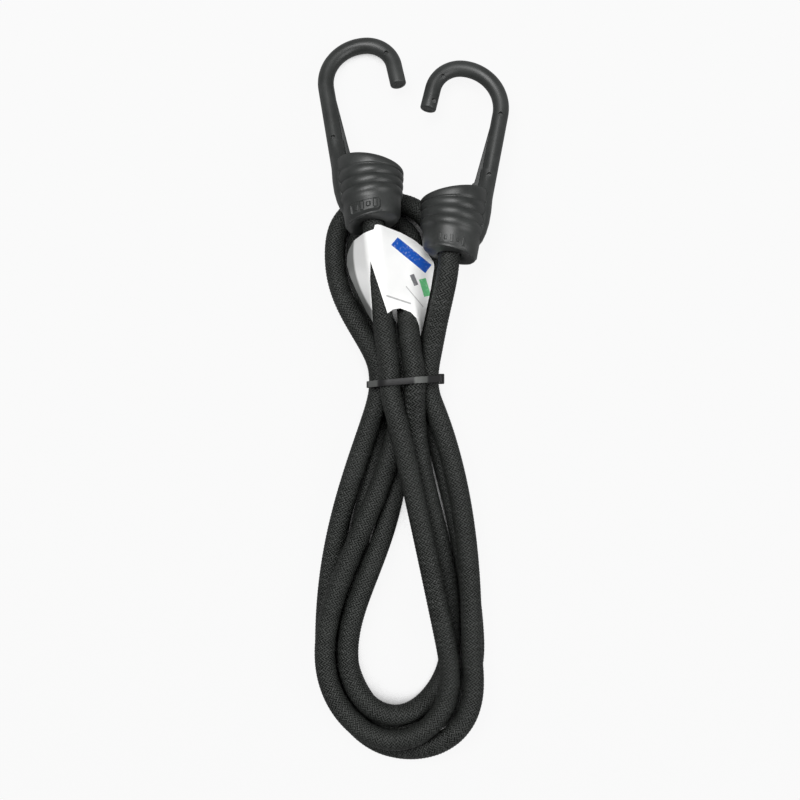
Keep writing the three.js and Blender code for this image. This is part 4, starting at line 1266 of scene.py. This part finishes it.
# %% White film with plain bars in place of print
PRINTS = [((3.3, 55.6), (9.3, 2.4), -36, (0.006, 0.08, 0.42)),
          ((4.4, 44.8), (2.5, 1.0), -66, (0.16, 0.16, 0.17)),
          ((9.3, 41.9), (3.9, 1.6), -72, (0.12, 0.5, 0.2)),
          ((4.7, 37.4), (5.8, 0.25), -48, (0.5, 0.5, 0.5)),
          ((-2.4, 35.6), (5.6, 0.35), -15, (0.4, 0.4, 0.4))]


def film_material():
    m = Nodes("white label film")
    place = m.place()
    x, y = m.split(place)

    def bar(middle, half, degrees):
        """1 inside a bar drawn on the film, in the waist's millimetres."""
        c, s = math.cos(math.radians(degrees)), math.sin(math.radians(degrees))
        dx, dy = (m.math("SUBTRACT", socket, (middle[i] + SHIFT[i]) * MM)
                  for i, socket in enumerate((x, y)))
        ways = m.weigh((dx, c), (dy, s)), m.weigh((dy, c), (dx, -s))
        return m.math("MULTIPLY", *(m.math("LESS_THAN", m.math("ABSOLUTE", way), size * MM)
                                    for way, size in zip(ways, half)))

    fleck = m.noise(place, 900, 3.0, 0.6)
    cloud = m.noise(place, 60, 3.0, 0.6)
    color = m.ramp(cloud, [(0.3, (0.84, 0.845, 0.84)), (0.7, (0.9, 0.9, 0.89))])
    for middle, half, degrees, tint in PRINTS:
        worn = m.spread(fleck, 0.3, 0.45, 0.7, 1.0)
        color = m.tinted(color, tint, m.math("MULTIPLY", bar(middle, half, degrees), worn))
    # Left of a bowed line the film is tinted grey: painted shade on its left margin.
    far = m.math("SUBTRACT", y, (SHADED_MARGIN_PLACE[1] + SHIFT[1]) * MM)
    bow = m.math("MULTIPLY", m.math("MULTIPLY", far, far), SHADED_MARGIN_CURVE)
    shade_edge = m.math("ADD", (SHADED_MARGIN_PLACE[0] + SHIFT[0]) * MM, bow)
    painted_shade_margin = m.spread(m.math("SUBTRACT", x, shade_edge), -0.5 * MM, 0.3 * MM, 1.0, 0.0)
    return m.surface(m.tinted(color, (0.2, 0.205, 0.2), painted_shade_margin),
                     m.spread(cloud, 0.3, 0.7, 0.3, 0.45), m.bump(cloud, 0.25, 0.0003))


dress(film, film_material())
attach(film, "hank")
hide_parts("label")

# %% [markdown]
# ## Inside the collars
#
# Each end of the cord stands in its collar's cup, and a strip of steel, rolled to an open
# ring, is crimped round it. The braid ends there, and the ends of the rubber threads show.

# %% The cord's two ends
END_START, END_STOP, END_RINGS = 0.0006, 0.0159, 22
THREAD, THREAD_PITCH = 0.72, 1.55


def cord_end(side):
    leaving, forward, _ = frames[side]
    leaving, forward = (leaving + SHIFT) * MM, forward / np.linalg.norm(forward)
    line = leaving + forward * np.linspace(END_START, END_STOP, END_RINGS)[:, None]
    end = braided_tube(side + "_end_braid", line, CORD_RADIUS)
    dress(end, BRAID)
    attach(end, side + "_cord_end")
    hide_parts(side + "_cord_end_sheath")
    return end


def rubber_threads(side):
    """Nineteen threads in a round bundle, a little proud of the braid's cut end."""
    threads = []
    for ring, count in ((0, 1), (1, 6), (2, 12)):
        for i in range(count):
            angle = 2 * math.pi * i / count
            deselect()
            bpy.ops.mesh.primitive_cylinder_add(
                vertices=14, radius=THREAD, depth=6.0, rotation=(-math.pi / 2, 0, 0),
                location=(ring * THREAD_PITCH * math.cos(angle), 13.3 - 0.1 * (i % 3),
                          ring * THREAD_PITCH * math.sin(angle)))
            threads.append(settle(bpy.context.object))
    deselect()
    for thread in threads:
        thread.select_set(True)
    bpy.context.view_layer.objects.active = threads[0]
    bpy.ops.object.join()
    bundle = bpy.context.object
    bundle.name = side + "_rubber_threads"
    return clean(lay(bundle, hook_place(side), 40))


# %% The steel clips
CLIP_RADIUS, CLIP_HALF_WALL, CLIP_MIDDLE, CLIP_HALF_WIDTH = 5.56, 0.7, 11.45, 2.45
CLIP_OPENING = 40


def clip(side):
    """A flat rounded section, swept round the cord up to the ring's opening."""
    deselect()
    bpy.ops.mesh.primitive_circle_add(vertices=20, radius=1)
    ring = bpy.context.object
    ring.name = side + "_steel_clip"
    start = math.radians(CLIP_OPENING / 2)
    for vertex in ring.data.vertices:
        c, s = vertex.co.x, vertex.co.y
        out = CLIP_RADIUS + CLIP_HALF_WALL * math.copysign(abs(c) ** 0.45, c)
        height = CLIP_MIDDLE + CLIP_HALF_WIDTH * math.copysign(abs(s) ** 0.3, s)
        vertex.co = (out * math.cos(start), height, out * math.sin(start))
    open_mesh(ring)
    bpy.ops.mesh.spin(steps=64, angle=math.radians(360 - CLIP_OPENING), center=(0, 0, 0),
                      axis=(0, -1, 0))
    close_ends()
    return lay(clean(ring, 0.001), hook_place(side), 35)


def rubber_material():
    m = Nodes("natural rubber")
    place = m.place()
    cloud = m.noise(place, 500, 3.0, 0.6)
    return m.surface(m.ramp(cloud, [(0.3, (0.28, 0.24, 0.18)), (0.7, (0.42, 0.36, 0.27))]),
                     m.spread(cloud, 0.3, 0.7, 0.6, 0.8), m.bump(cloud, 0.4, 0.00008))


RUBBER = rubber_material()
for side in ("left", "right"):
    cord_end(side)
    threads = dress(rubber_threads(side), RUBBER)
    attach(threads, side + "_cord_end")
    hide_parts(side + "_cord_end_core")
    ring = dress(clip(side), CLIP_STEEL)
    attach(ring, side + "_cord_end")
    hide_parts(side + "_cord_clip")
    print(side, "end dressed")
